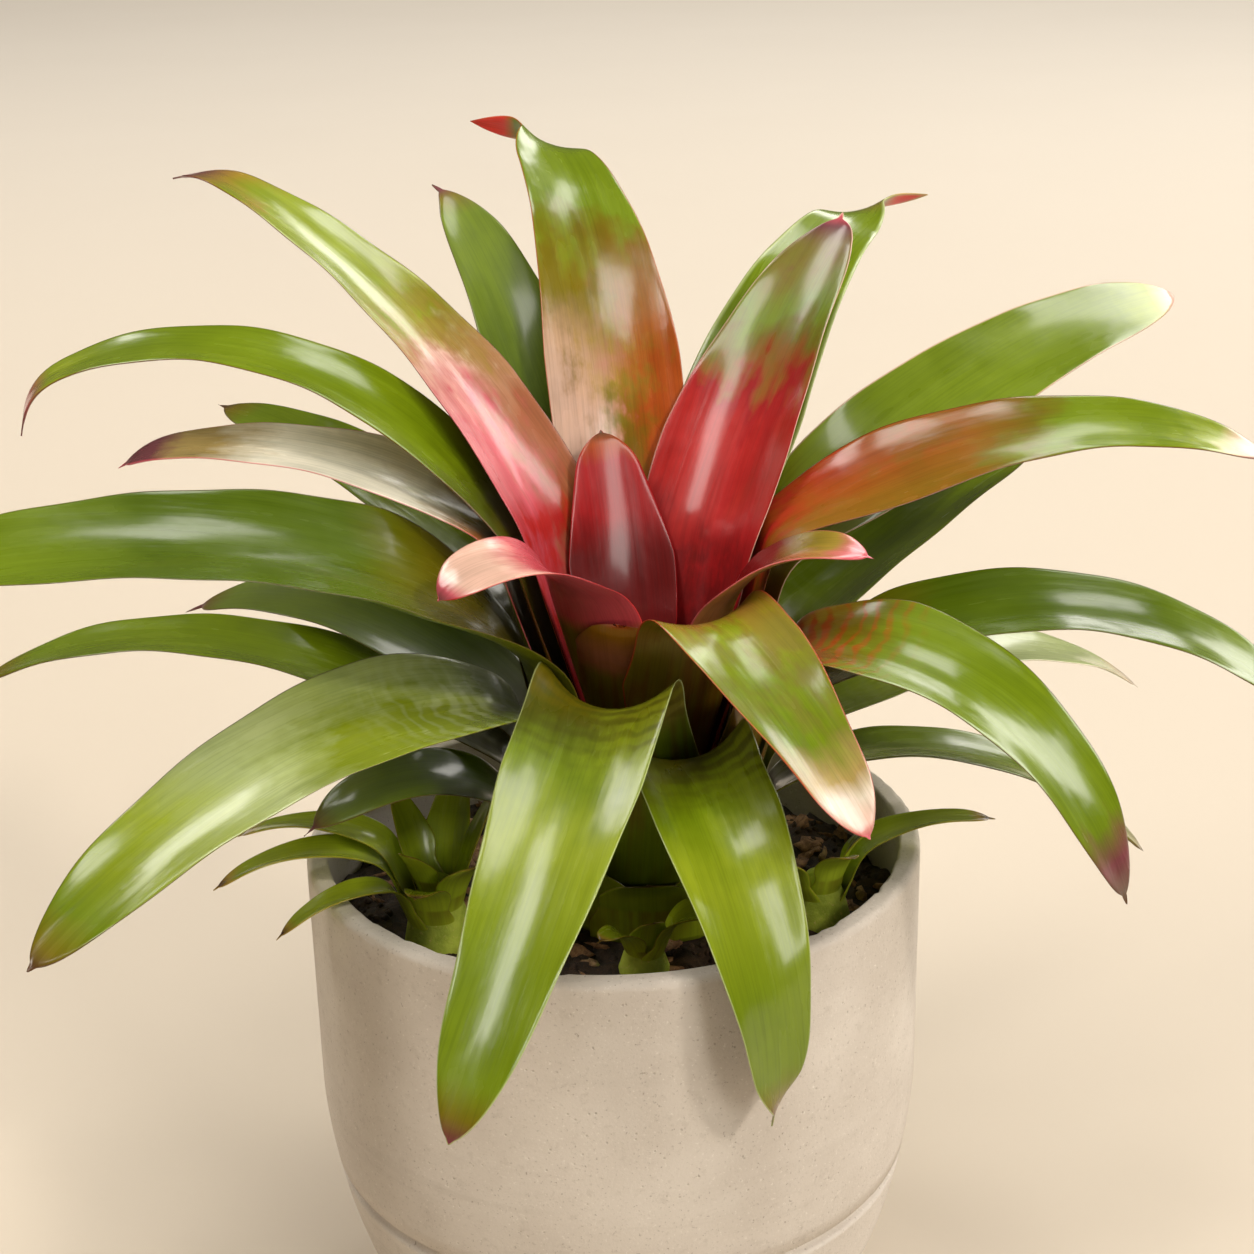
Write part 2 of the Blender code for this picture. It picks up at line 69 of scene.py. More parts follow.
def belly_radius(height):
    """the wall's outer radius at this height, drawn in below the belly"""
    if height >= BELLY_HEIGHT:
        return POT_RADIUS
    down = min((BELLY_HEIGHT - height) / (BELLY_HEIGHT - FOOT_HEIGHT), 1.0)
    return FOOT_RADIUS + (POT_RADIUS - FOOT_RADIUS) * (1 - down ** BELLY_DROP) ** BELLY_FULLNESS


def rim_round(middle, size, start, steps):
    """a quarter turn of the rim's edge from this angle on, about a middle this far out"""
    turns = [radians(start - 90 / steps * step) for step in range(steps + 1)]
    return [(middle + size * cos(turn), POT_HEIGHT - size + size * sin(turn)) for turn in turns]


def pot_profile():
    """(radius, height) points from the middle of the floor inside, over the rim, to the underside"""
    inner = POT_RADIUS - POT_WALL
    points = [(0.0, POT_FLOOR), (FOOT_RADIUS - POT_WALL, POT_FLOOR)]
    points += [(belly_radius(h) - POT_WALL, h) for h in (0.022, 0.05, BELLY_HEIGHT, 0.13, 0.15, 0.16)]
    points += rim_round(inner + INNER_ROUND, INNER_ROUND, 180, 4)
    points.append(((inner + POT_RADIUS) / 2, POT_HEIGHT))
    points += rim_round(POT_RADIUS - RIM_ROUND, RIM_ROUND, 90, 8)
    height = POT_HEIGHT - RIM_ROUND - 0.003
    while height > GROOVE_HEIGHT + WALL_STEP:
        points.append((belly_radius(height), height))
        height -= WALL_STEP
    for step in range(-GROOVE_STEPS, GROOVE_STEPS + 1):
        height = GROOVE_HEIGHT - step / GROOVE_STEPS * GROOVE_HALF
        depth = GROOVE_DEPTH * cos(pi / 2 * step / GROOVE_STEPS) ** 0.6
        points.append((belly_radius(height) - depth, height))
    height = GROOVE_HEIGHT - 0.004
    while height > FOOT_HEIGHT + 0.001:
        points.append((belly_radius(height), height))
        height -= FOOT_STEP
    points += [(belly_radius(FOOT_HEIGHT), FOOT_HEIGHT), (FOOT_RADIUS - 0.0005, 0.0015)]
    points += [(FOOT_RADIUS - 0.002, 0.0), (0.0, 0.0)]
    return points


def placed(name, data):
    """a new object in the scene with this mesh, light or camera"""
    obj = bpy.data.objects.new(name, data)
    bpy.context.scene.collection.objects.link(obj)
    return obj


def turned(name, profile, sides):
    """a solid of revolution about Z as a plain mesh, from (radius, height) points"""
    mesh = bpy.data.meshes.new(name)
    edges = [(i, i + 1) for i in range(len(profile) - 1)]
    mesh.from_pydata([(r, 0.0, h) for r, h in profile], edges, [])
    obj = placed(name, mesh)
    screw = obj.modifiers.new("turn", "SCREW")
    screw.steps = sides
    screw.render_steps = sides
    screw.use_merge_vertices = True
    screw.merge_threshold = 0.00001
    return settled(obj)


def settled(obj):
    """the object with its modifiers worked into its mesh"""
    bpy.context.view_layer.update()
    graph = bpy.context.evaluated_depsgraph_get()
    mesh = bpy.data.meshes.new_from_object(obj.evaluated_get(graph))
    obj.modifiers.clear()
    obj.data = mesh
    mesh.shade_smooth()
    return obj


class Term:
    """one value in a node tree, so that a rule can be written as plain sums"""

    def __init__(self, socket):
        self.tree = socket.id_data
        self.socket = socket

    def __add__(self, other):
        return worked("ADD", self, other)

    def __sub__(self, other):
        return worked("SUBTRACT", self, other)

    def __rsub__(self, other):
        return worked("SUBTRACT", other, self)

    def __mul__(self, other):
        return worked("MULTIPLY", self, other)

    def __truediv__(self, other):
        return worked("DIVIDE", self, other)

    def __pow__(self, other):
        return worked("POWER", self, other)

    __radd__ = __add__
    __rmul__ = __mul__


def feed(socket, value):
    """links a term or another socket to the socket, or sets the socket to a plain value"""
    if isinstance(value, Term):
        value = value.socket
    if isinstance(value, bpy.types.NodeSocket):
        value.id_data.links.new(value, socket)
    else:
        socket.default_value = value


def worked(operation, *values):
    """one sum in the tree that its terms belong to"""
    tree = next(v.tree for v in values if isinstance(v, Term))
    node = tree.nodes.new("ShaderNodeMath")
    node.operation = operation
    for socket, value in zip(node.inputs, values):
        feed(socket, value)
    return Term(node.outputs[0])


def ranged(value, low, high, start=0.0, end=1.0, curve="SMOOTHSTEP"):
    """start below low, end above high, and an even or smooth change between"""
    node = value.tree.nodes.new("ShaderNodeMapRange")
    node.interpolation_type = curve
    for socket, number in zip(node.inputs, (value, low, high, start, end)):
        feed(socket, number)
    return Term(node.outputs[0])


def noise_of(place, scale, detail=2.0, rough=0.5):
    """cloudy noise at this place, about 0.5 on the whole"""
    tree = place.id_data
    node = tree.nodes.new("ShaderNodeTexNoise")
    feed(node.inputs["Vector"], place)
    node.inputs["Scale"].default_value = scale
    node.inputs["Detail"].default_value = detail
    node.inputs["Roughness"].default_value = rough
    return Term(node.outputs[0])


def stretched(place, scale):
    """the place with each axis made finer or coarser, so that noise runs in streaks"""
    tree = place.id_data
    node = tree.nodes.new("ShaderNodeMapping")
    feed(node.inputs["Vector"], place)
    node.inputs["Scale"].default_value = scale
    return node.outputs[0]


def tinted(share, first, second, way="MIX"):
    """first colour where share is 0, second where it is 1"""
    tree = share.tree
    node = tree.nodes.new("ShaderNodeMix")
    node.data_type = "RGBA"
    node.blend_type = way
    node.clamp_factor = True
    feed(node.inputs[0], share)
    for socket, colour in ((node.inputs[6], first), (node.inputs[7], second)):
        feed(socket, (*colour, 1.0) if isinstance(colour, tuple) else colour)
    return node.outputs[2]


def bumped(height, strength, distance, under=None):
    """relief from this height, so many metres deep, laid over the relief under it"""
    tree = height.tree
    node = tree.nodes.new("ShaderNodeBump")
    node.inputs["Strength"].default_value = strength
    node.inputs["Distance"].default_value = distance
    feed(node.inputs["Height"], height)
    if under is not None:
        feed(node.inputs["Normal"], under)
    return node.outputs["Normal"]


def finish(name):
    """a new material, its tree and its shader"""
    made = bpy.data.materials.new(name)
    made.use_nodes = True
    tree = made.node_tree
    return made, tree, tree.nodes["Principled BSDF"]


def object_place(tree):
    return tree.nodes.new("ShaderNodeTexCoord").outputs["Object"]


CONCRETE = (0.50, 0.443, 0.385)
CONCRETE_PALE = (0.60, 0.545, 0.485)
CONCRETE_DARK = (0.35, 0.30, 0.25)
SPECKLE = (0.20, 0.165, 0.13)
PALE_GRAIN = (0.78, 0.74, 0.68)

concrete, tree, shader = finish("dry_concrete")
place = object_place(tree)
cloud = noise_of(place, 16, 4, 0.6)
rings = noise_of(stretched(place, (3, 3, 60)), 3, 3, 0.6)
grain = noise_of(place, 900, 3, 0.7)
grit = noise_of(place, 260, 3, 0.65)
pits = tree.nodes.new("ShaderNodeTexVoronoi")
pits.inputs["Scale"].default_value = 240
feed(pits.inputs["Vector"], place)
pit = Term(pits.outputs["Distance"])
height = tree.nodes.new("ShaderNodeSeparateXYZ")
feed(height.inputs[0], place)
low = Term(height.outputs[2])
colour = tinted(ranged(cloud, 0.3, 0.72), CONCRETE, CONCRETE_PALE)
# darker towards the foot, in uneven rings
low_darkening = ranged(rings, 0.52, 0.8) * ranged(low, 0.03, 0.12, 0.55, 0.1)
colour = tinted(low_darkening, colour, CONCRETE_DARK)
colour = tinted(ranged(grit, 0.56, 0.72, 0.0, 0.22), colour, CONCRETE_DARK)
colour = tinted(ranged(grain, 0.60, 0.74, 0.0, 0.75), colour, SPECKLE)
colour = tinted(ranged(grain, 0.28, 0.40, 0.45, 0.0), colour, PALE_GRAIN)
colour = tinted(ranged(pit, 0.04, 0.10, 0.35, 0.0), colour, CONCRETE_DARK)
feed(shader.inputs["Base Color"], colour)
feed(shader.inputs["Roughness"], ranged(grit, 0.3, 0.7, 0.78, 0.94))
relief = bumped(grain, 0.35, 0.0004)
relief = bumped(ranged(pit, 0.04, 0.14), 0.5, 0.0005, relief)
relief = bumped(rings, 0.12, 0.001, relief)
feed(shader.inputs["Normal"], relief)

pot = turned("concrete_pot", pot_profile(), POT_SIDES)
for vertex in pot.data.vertices:
    x, y, z = vertex.co
    near_rim = max(0.0, 1 - (POT_HEIGHT - z) / CHIPPED_BAND) if hypot(x, y) > 0.01 else 0.0
    wear = max(0.0, noise.noise(vertex.co * 260) + 0.35 * noise.noise(vertex.co * 700) - 0.12)
    sink = RIM_CHIPS * near_rim * wear * CHIP_BITE
    ripple = WALL_RIPPLE * noise.noise(Vector((x * 30, y * 30, z * 90)))
    away = Vector((x, y, 0)).normalized() if hypot(x, y) > 0.01 else Vector()
    side = 1 if hypot(x, y) > POT_RADIUS - POT_WALL / 2 else -1
    vertex.co -= away * side * (sink + max(0.0, ripple)) + Vector((0, 0, 0.7 * sink))
pot.data.materials.append(concrete)
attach(pot, "root")
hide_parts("pot")


# The potting mix is dark bark compost: a heap of crumbs with chips of bark, fibres and a lump of
# mossy husk lying on it. It fills the pot to a finger's width below the rim.
SOIL_HEIGHT = 0.145
SOIL_RELIEF = 0.0022
SOIL_RINGS = 70
SOIL_SIDES = 220
SOIL_GAP = 0.0003
SOIL_SEED = 11
MOSS = (0.14, 0.17, 0.03)
CROWN_X = 0.012
CROWN_Y = 0.0
STEM_RADIUS = 0.034
HUSK_PLACE = (0.024, -0.068)
PUP_FEET = ((-0.056, -0.030, 0.011), (0.066, -0.020, 0.010), (0.009, -0.051, 0.008))


def smooth(x):
    """an even start and end between 0 and 1"""
    x = min(max(x, 0.0), 1.0)
    return x * x * (3 - 2 * x)


def soil_relief(x, y):
    """how far the mix is heaped here, level round the stem and the bulbs"""
    waves = sin(x * 210 + 1.3) * sin(y * 170 + 0.4) + 0.6 * sin(x * 95 - y * 130)
    nearest = hypot(x - CROWN_X, y - CROWN_Y) - STEM_RADIUS
    for pup_x, pup_y, radius in PUP_FEET:
        nearest = min(nearest, hypot(x - pup_x, y - pup_y) - radius)
    return SOIL_RELIEF * waves * smooth(nearest / 0.012)


def bark_finish(name, dark, mid, light, scale, moss=0.0):
    """a dull fibrous finish in three tones, with moss on it where that is asked for"""
    made, tree, shader = finish(name)
    place = object_place(tree)
    patch = noise_of(place, scale, 4, 0.65)
    fine = noise_of(place, scale * 7, 3, 0.7)
    colour = tinted(ranged(patch, 0.35, 0.62), dark, mid)
    colour = tinted(ranged(fine, 0.55, 0.78), colour, light)
    if moss:
        growth = noise_of(place, 120, 3, 0.6)
        colour = tinted(ranged(growth, 0.52, 0.66, 0.0, moss), colour, MOSS)
    feed(shader.inputs["Base Color"], colour)
    feed(shader.inputs["Roughness"], ranged(fine, 0.3, 0.7, 0.75, 0.95))
    relief = bumped(patch, 0.6, 0.0012)
    feed(shader.inputs["Normal"], bumped(fine, 0.6, 0.0004, relief))
    return made


compost = bark_finish("dark_compost", (0.010, 0.006, 0.004), (0.04, 0.022, 0.012), (0.14, 0.08, 0.04), 260)
bark = bark_finish("bark_chips", (0.09, 0.042, 0.018), (0.32, 0.17, 0.08), (0.55, 0.36, 0.20), 190)
husk = bark_finish("mossy_husk", (0.16, 0.09, 0.045), (0.42, 0.27, 0.13), (0.60, 0.44, 0.25), 240, 0.8)


def meshed(name, bm):
    """the worked shape as a mesh"""
    mesh = bpy.data.meshes.new(name)
    bm.to_mesh(mesh)
    bm.free()
    return mesh


def soil_bed():
    """the mix from the pot's floor up, with a fine crumbly top"""
    wall = POT_RADIUS - POT_WALL - SOIL_GAP
    turns = [2 * pi * side / SOIL_SIDES for side in range(SOIL_SIDES)]
    bm = bmesh.new()
    rows = []
    for ring in range(1, SOIL_RINGS + 1):
        radius = (wall - SOIL_GAP) * ring / SOIL_RINGS
        dip = 0.002 * smooth((ring / SOIL_RINGS - 0.9) / 0.1)
        row = []
        for turn in turns:
            x, y = radius * cos(turn), radius * sin(turn)
            crumb = 0.0016 * noise.noise(Vector((x, y, 0)) * 160)
            crumb += 0.0012 * noise.noise(Vector((x, y, 3)) * 420)
            row.append(bm.verts.new((x, y, SOIL_HEIGHT + soil_relief(x, y) + crumb - dip)))
        rows.append(row)
    foot = (FOOT_RADIUS - POT_WALL - 0.001, POT_FLOOR + SOIL_GAP)
    for radius, z in ((wall - 0.0005, BELLY_HEIGHT), foot):
        rows.append([bm.verts.new((radius * cos(turn), radius * sin(turn), z)) for turn in turns])
    for upper, lower in zip(rows, rows[1:]):
        for side in range(SOIL_SIDES):
            after = (side + 1) % SOIL_SIDES
            bm.faces.new((upper[side], lower[side], lower[after], upper[after]))
    bm.faces.new(rows[0])
    bm.faces.new(list(reversed(rows[-1])))
    bmesh.ops.recalc_face_normals(bm, faces=bm.faces[:])
    mesh = meshed("compost_bed", bm)
    mesh.shade_smooth()
    return placed("compost_bed", mesh)


STREW_INPUTS = (
    ("Geometry", "Geometry"), ("Density", "Float"), ("Smallest", "Float"), ("Largest", "Float"),
    ("Lean", "Float"), ("Seed", "Int"), ("Lump", "Object"), ("Finish", "Material"),
)


def new_group(name, inputs):
    """an empty geometry tree with these named inputs, and its input node"""
    tree = bpy.data.node_groups.new(name, "GeometryNodeTree")
    tree.interface.new_socket("Geometry", in_out="OUTPUT", socket_type="NodeSocketGeometry")
    for label, kind in inputs:
        tree.interface.new_socket(label, in_out="INPUT", socket_type="NodeSocket" + kind)
    return tree, tree.nodes.new("NodeGroupInput")


def end_group(tree, flow, skin):
    """the tree's end: instances made real and the finish laid on them"""
    real = tree.nodes.new("GeometryNodeRealizeInstances")
    paint = tree.nodes.new("GeometryNodeSetMaterial")
    end = tree.nodes.new("NodeGroupOutput")
    feed(real.inputs[0], flow)
    feed(paint.inputs["Geometry"], real.outputs[0])
    feed(paint.inputs["Material"], skin)
    feed(end.inputs[0], paint.outputs[0])


def strewing_tree():
    """scatters lumps over a surface: inputs are how many per square metre, their size and the lump"""
    tree, start = new_group("strewn_chips", STREW_INPUTS)
    spread = tree.nodes.new("GeometryNodeDistributePointsOnFaces")
    lump = tree.nodes.new("GeometryNodeObjectInfo")
    put = tree.nodes.new("GeometryNodeInstanceOnPoints")
    turn = tree.nodes.new("FunctionNodeRandomValue")
    size = tree.nodes.new("FunctionNodeRandomValue")
    turn.data_type = "FLOAT_VECTOR"
    size.data_type = "FLOAT"
    link = tree.links.new
    link(start.outputs["Geometry"], spread.inputs["Mesh"])
    link(start.outputs["Density"], spread.inputs["Density"])
    link(start.outputs["Lump"], lump.inputs[0])
    link(spread.outputs["Points"], put.inputs["Points"])
    link(lump.outputs["Geometry"], put.inputs["Instance"])
    for node in (spread, turn, size):
        link(start.outputs["Seed"], node.inputs["Seed"])
    lean = tree.nodes.new("ShaderNodeCombineXYZ")
    back = tree.nodes.new("ShaderNodeCombineXYZ")
    lean.inputs[2].default_value = 2 * pi
    tilt = Term(start.outputs["Lean"])
    for axis in range(2):
        feed(lean.inputs[axis], tilt)
        feed(back.inputs[axis], tilt * -1.0)
    least, most = [socket for socket in turn.inputs if socket.enabled][:2]
    link(back.outputs[0], least)
    link(lean.outputs[0], most)
    least, most = [socket for socket in size.inputs if socket.enabled][:2]
    link(start.outputs["Smallest"], least)
    link(start.outputs["Largest"], most)
    for node, label in ((turn, "Rotation"), (size, "Scale")):
        link(next(socket for socket in node.outputs if socket.enabled), put.inputs[label])
    end_group(tree, put.outputs["Instances"], start.outputs["Finish"])
    return tree


def set_inputs(modifier, values):
    """gives a node modifier its named inputs, by each socket's identifier"""
    for item in modifier.node_group.interface.items_tree:
        if item.item_type == "SOCKET" and item.in_out == "INPUT" and item.name in values:
            modifier[item.identifier] = values[item.name]


def lump_shape(name, sizes, roughness, seed, detail):
    """a rough lump of three sizes, from a dented ball"""
    bm = bmesh.new()
    bmesh.ops.create_icosphere(bm, subdivisions=detail, radius=1.0)
    for vertex in bm.verts:
        vertex.co *= 1 + roughness * noise.noise(vertex.co * 1.7 + Vector((seed, 0, 0)))
        vertex.co.x *= sizes[0]
        vertex.co.y *= sizes[1]
        vertex.co.z *= sizes[2]
    return bpy.data.objects.new(name, meshed(name, bm))


def worked_out(name, mesh, group, values):
    """what the group makes of this mesh with these named inputs, as a plain mesh"""
    obj = placed(name, mesh)
    modifier = obj.modifiers.new("shape", "NODES")
    modifier.node_group = group
    set_inputs(modifier, values)
    return settled(obj)


def soil_top(bed):
    """the open part of the bed's top that chips can lie on"""
    bm = bmesh.new()
    bm.from_mesh(bed.data)
    inside = POT_RADIUS - POT_WALL - 0.004

    def covered(face):
        x, y, z = face.calc_center_median()
        if z < SOIL_HEIGHT - 0.012 or hypot(x, y) > inside:
            return True
        if hypot(x - CROWN_X, y - CROWN_Y) < STEM_RADIUS + 0.003:
            return True
        return any(hypot(x - fx, y - fy) < r + 0.001 for fx, fy, r in PUP_FEET)

    bmesh.ops.delete(bm, geom=[f for f in bm.faces if covered(f)], context="FACES")
    return meshed("open_soil", bm)


bed = soil_bed()
bed.data.materials.append(compost)
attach(bed, "root")
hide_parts("potting_mix")

strewing = strewing_tree()
ground = soil_top(bed)
# each kind of chip: how many per square metre, smallest and largest, lean, seed, sizes of its lump,
# how rough and how finely cut the lump is, and its finish
STREWN = (
    ("compost_crumbs", 42000, 0.5, 1.25, 3.1, 1, (0.0017, 0.0012, 0.0010), 0.7, 1, compost),
    ("bark_flakes", 7500, 0.5, 1.4, 0.8, 2, (0.0042, 0.0026, 0.0011), 0.8, 2, bark),
    ("bark_splinters", 5000, 0.5, 1.3, 0.35, 3, (0.0065, 0.0009, 0.0008), 0.5, 1, bark),
    ("pale_chips", 1300, 0.5, 1.2, 0.9, 4, (0.0036, 0.0022, 0.0013), 0.8, 2, husk),
)
for name, density, least, most, lean, seed, sizes, roughness, detail, skin in STREWN:
    lump = lump_shape(name + "_lump", sizes, roughness, seed, detail)
    chips = worked_out(name, ground.copy(), strewing, {
        "Density": float(density), "Smallest": least, "Largest": most, "Lean": lean,
        "Seed": SOIL_SEED + seed, "Lump": lump, "Finish": skin,
    })
    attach(chips, "root")

lump = lump_shape("husk_lump", (0.0145, 0.0078, 0.0064), 0.35, 5, 5)
for vertex in lump.data.vertices:
    spot = vertex.co.copy()
    swell = 0.0010 * noise.noise(spot * 500) + 0.0006 * noise.noise(spot * 1400)
    vertex.co += spot.normalized() * swell
lump.data.transform(
    Matrix.Translation((*HUSK_PLACE, SOIL_HEIGHT + soil_relief(*HUSK_PLACE) + 0.0004))
    @ Matrix.Rotation(radians(25), 4, "Z")
)
lump.data.shade_smooth()
lump.data.materials.append(husk)
bpy.context.scene.collection.objects.link(lump)
lump.name = "mossy_lump"
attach(lump, "root")


# The rosette is a plant whose strap leaves overlap in a tight cup and arch outward, each a thick
# glossy channelled blade growing from a broad sheath wrapped round the short stem. Blades are
# crimson and rose near the heart and green beyond, with fine lengthwise veins and a thin margin.
SHEATH_PITCH = 74
FIRST_SHEATH = -0.004
SHEATH_STEP = 0.00115
SHEATH_SPREAD = 44
SHEATH_FLAT = 0.03
SHEATH_GAP = 0.0003
STEM_TOP = 0.207
STEM_TOP_RADIUS = 0.0065
CAD_THICKNESS = 0.0009
LEAF_THICKNESS = 0.0011
LEAF_RIPPLE = 0.0003
SHOULDER = 0.014
CHANNEL_RADIUS = 0.048
LEAF_ROWS = 132
LEAF_RING = 32
ROW_CROWDING = 1.3
WIDEST = 0.3
NARROWEST = 0.42
POINT_START = 0.8
RIPPLES = 170

LEAF_ANGLES = ("azimuth", "launch", "tip", "turn", "roll", "hook", "curl", "twist")
LEAF_LENGTHS = ("fold", "length", "width", "tail", "tail_width")
LEAF_RATIOS = ("bend", "neck")
LEAF_INPUTS = (*LEAF_ANGLES, *LEAF_LENGTHS, *LEAF_RATIOS) + (
    "crown_x", "crown_y", "foot_reach", "foot_height", "sheath_pitch", "spread", "channel",
    "thickness", "ripple", "number", "lip_left", "lip_right", "sag",
)


sine, cosine, unsigned = (partial(worked, way) for way in ("SINE", "COSINE", "ABSOLUTE"))
at_least, at_most = (partial(worked, way) for way in ("MAXIMUM", "MINIMUM"))


def leaf_tree():
    """grows one leaf: a grid is laid along the midrib's path and wrapped round the blade"""
    kinds = [(label, "Float") for label in LEAF_INPUTS] + [("Finish", "Material")]
    tree, start = new_group("strap_leaf", kinds)

    def given(label):
        return Term(start.outputs[label])

    grid = tree.nodes.new("GeometryNodeMeshGrid")
    grid.inputs["Vertices X"].default_value = LEAF_ROWS
    grid.inputs["Vertices Y"].default_value = LEAF_RING + 1
    index = Term(tree.nodes.new("GeometryNodeInputIndex").outputs[0])
    row = worked("FLOOR", (index + 0.5) / (LEAF_RING + 1))
    column = index - row * (LEAF_RING + 1)
    turn = column * (2 * pi / LEAF_RING)
    across = cosine(turn)
    above = sine(turn)

    sheath_pitch = given("sheath_pitch")
    sheath = (given("fold") - given("foot_height")) / sine(sheath_pitch)
    length = given("length")
    total = sheath + length + given("tail")

    def distance_at(number):
        return total * (1 - (1 - number / (LEAF_ROWS - 1)) ** ROW_CROWDING)

    distance = distance_at(row)
    step = distance_at(at_most(row + 1, LEAF_ROWS - 1)) - distance
    raw = at_least(distance - sheath, 0.0) / length
    share = at_most(raw, 1.0)
    arc = given("launch") + (given("tip") - given("launch")) * share ** given("bend")
    arc = arc - given("hook") * ranged(raw, 0.86, 1.0)
    pitch = sheath_pitch + (arc - sheath_pitch) * ranged(share * length, 0.0, SHOULDER)
    heading = given("azimuth") + given("turn") * share ** 1.3
    heading = heading + given("curl") * ranged(raw, 0.9, 1.08)
    ahead = (cosine(heading), sine(heading))
    level = step * cosine(pitch)
    sums = []
    for move in (level * ahead[0], level * ahead[1], step * sine(pitch)):
        gather = tree.nodes.new("GeometryNodeAccumulateField")
        gather.data_type = "FLOAT"
        feed(next(s for s in gather.inputs if s.enabled and s.name == "Value"), move)
        feed(gather.inputs[-1], column)
        sums.append(Term(next(s for s in gather.outputs if s.enabled and s.name == "Trailing")))
    off_x = given("foot_reach") * cosine(given("azimuth")) + sums[0]
    off_y = given("foot_reach") * sine(given("azimuth")) + sums[1]
    place = (given("crown_x") + off_x, given("crown_y") + off_y, given("foot_height") + sums[2])
    radius = worked("SQRT", off_x * off_x + off_y * off_y)
    open_up = ranged(share * length, 0.0, 1.5 * SHOULDER)
    lean = (pi / 2 - pitch) * open_up
    back = cosine(lean) * -1.0
    roll = given("roll") * ranged(share, 0.0, 0.3) + given("twist") * ranged(raw, 0.82, 1.05)
    roll_cos = cosine(roll)
    roll_sin = sine(roll)
    left = (ahead[1] * -1.0, ahead[0])
    inward = (back * ahead[0], back * ahead[1])
    side = [a * roll_cos + b * roll_sin for a, b in zip(left, inward)] + [sine(lean) * roll_sin]
    up = [b * roll_cos - a * roll_sin for a, b in zip(left, inward)] + [sine(lean) * roll_cos]

    swell = sine(pi / 2 * at_most(share / WIDEST, 1.0))
    late = at_least(share - WIDEST, 0.0) / (1 - WIDEST)
    narrowing = 1 - (1 - NARROWEST) * late ** 1.2
    close = at_least(share - POINT_START, 0.0) / (1 - POINT_START)
    point = at_least(1 - close ** 2.5, 0.0) ** 0.6
    neck = given("neck")
    half_width = given("width") * 0.5
    half_blade = half_width * (neck + (1 - neck) * swell) * narrowing * point
    over = at_least(distance - sheath - length, 0.0) / at_least(given("tail"), 0.0001)
    half_tail = given("tail_width") * 0.5 * at_least(1 - over ** 1.5, 0.0)
    half_blade = at_least(half_blade, half_tail)
    half_sheath = half_width * neck * ranged(distance / sheath, 0.4, 1.0, 1.25, 1.0)
    on_blade = worked("GREATER_THAN", distance, sheath)
    half = half_sheath + (half_blade - half_sheath) * on_blade
    half = at_most(half, radius * given("spread"))
    channel = radius + (given("channel") - radius) * open_up
    bow = half * across / channel
    ripple = given("ripple") * sine(distance * RIPPLES + across * 2.0 + given("number"))
    ripple = ripple * across * across * ranged(share, 0.1, 0.4)
    along_side = channel * sine(bow)
    rise = channel * (1 - cosine(bow)) + ripple
    body = at_least(1 - unsigned(across) ** 6, 0.0) ** 0.5
    ends = ranged(distance, 0.0, 0.002) * ranged(total - distance, 0.0, 0.004)
    slim = ranged(half, 0.0003, 0.004, 0.35, 1.0)
    skin = given("thickness") * 0.5 * body * worked("SIGN", above) * ends * slim
    corner = []
    for spot, out, rising in zip(place, side, up):
        normal = rising * cosine(bow) - out * sine(bow)
        corner.append(spot + out * along_side + rising * rise + normal * skin)

    beyond = distance - sheath
    lip = ranged(across, -1.0, 1.0, given("lip_right"), given("lip_left"), "LINEAR")
    corner_share = unsigned(across) ** 2.2
    lift = lip * corner_share - given("sag") * (1 - corner_share)
    corner[2] = corner[2] + lift * ranged(beyond, -0.03, 0.0) * ranged(beyond, 0.002, 0.026, 1.0, 0.0)

    joined = tree.nodes.new("ShaderNodeCombineXYZ")
    for socket, value in zip(joined.inputs, corner):
        feed(socket, value)
    marks = {
        "along": raw - at_least(1 - distance / sheath, 0.0),
        "across": across,
        "edge": half * (1 - unsigned(across)) * 1000,
        "face": worked("SIGN", above),
        "reach": distance,
        "offset": half * across,
        "number": given("number"),
    }
    flow = grid.outputs["Mesh"]
    for label, value in marks.items():
        store = tree.nodes.new("GeometryNodeStoreNamedAttribute")
        store.data_type = "FLOAT"
        store.domain = "POINT"
        store.inputs["Name"].default_value = label
        feed(store.inputs["Geometry"], flow)
        feed(next(s for s in store.inputs if s.enabled and s.name == "Value"), value)
        flow = store.outputs[0]
    setting = tree.nodes.new("GeometryNodeSetPosition")
    feed(setting.inputs["Geometry"], flow)
    feed(setting.inputs["Position"], joined.outputs[0])
    merge = tree.nodes.new("GeometryNodeMergeByDistance")
    merge.inputs["Distance"].default_value = 0.000004
    feed(merge.inputs["Geometry"], setting.outputs[0])
    end_group(tree, merge.outputs[0], start.outputs["Finish"])
    return tree


def sheath_base(order):
    """height at which a sheath of this order springs from the stem"""
    cone = 1 / tan(radians(SHEATH_PITCH))
    first = FIRST_SHEATH + order * SHEATH_STEP
    flare = (STEM_RADIUS - STEM_TOP_RADIUS) / (STEM_TOP - SOIL_HEIGHT)
    clear = CAD_THICKNESS / 2 + SHEATH_GAP + SHEATH_FLAT * STEM_RADIUS
    return SOIL_HEIGHT + (STEM_RADIUS + clear - first) / (cone + flare)


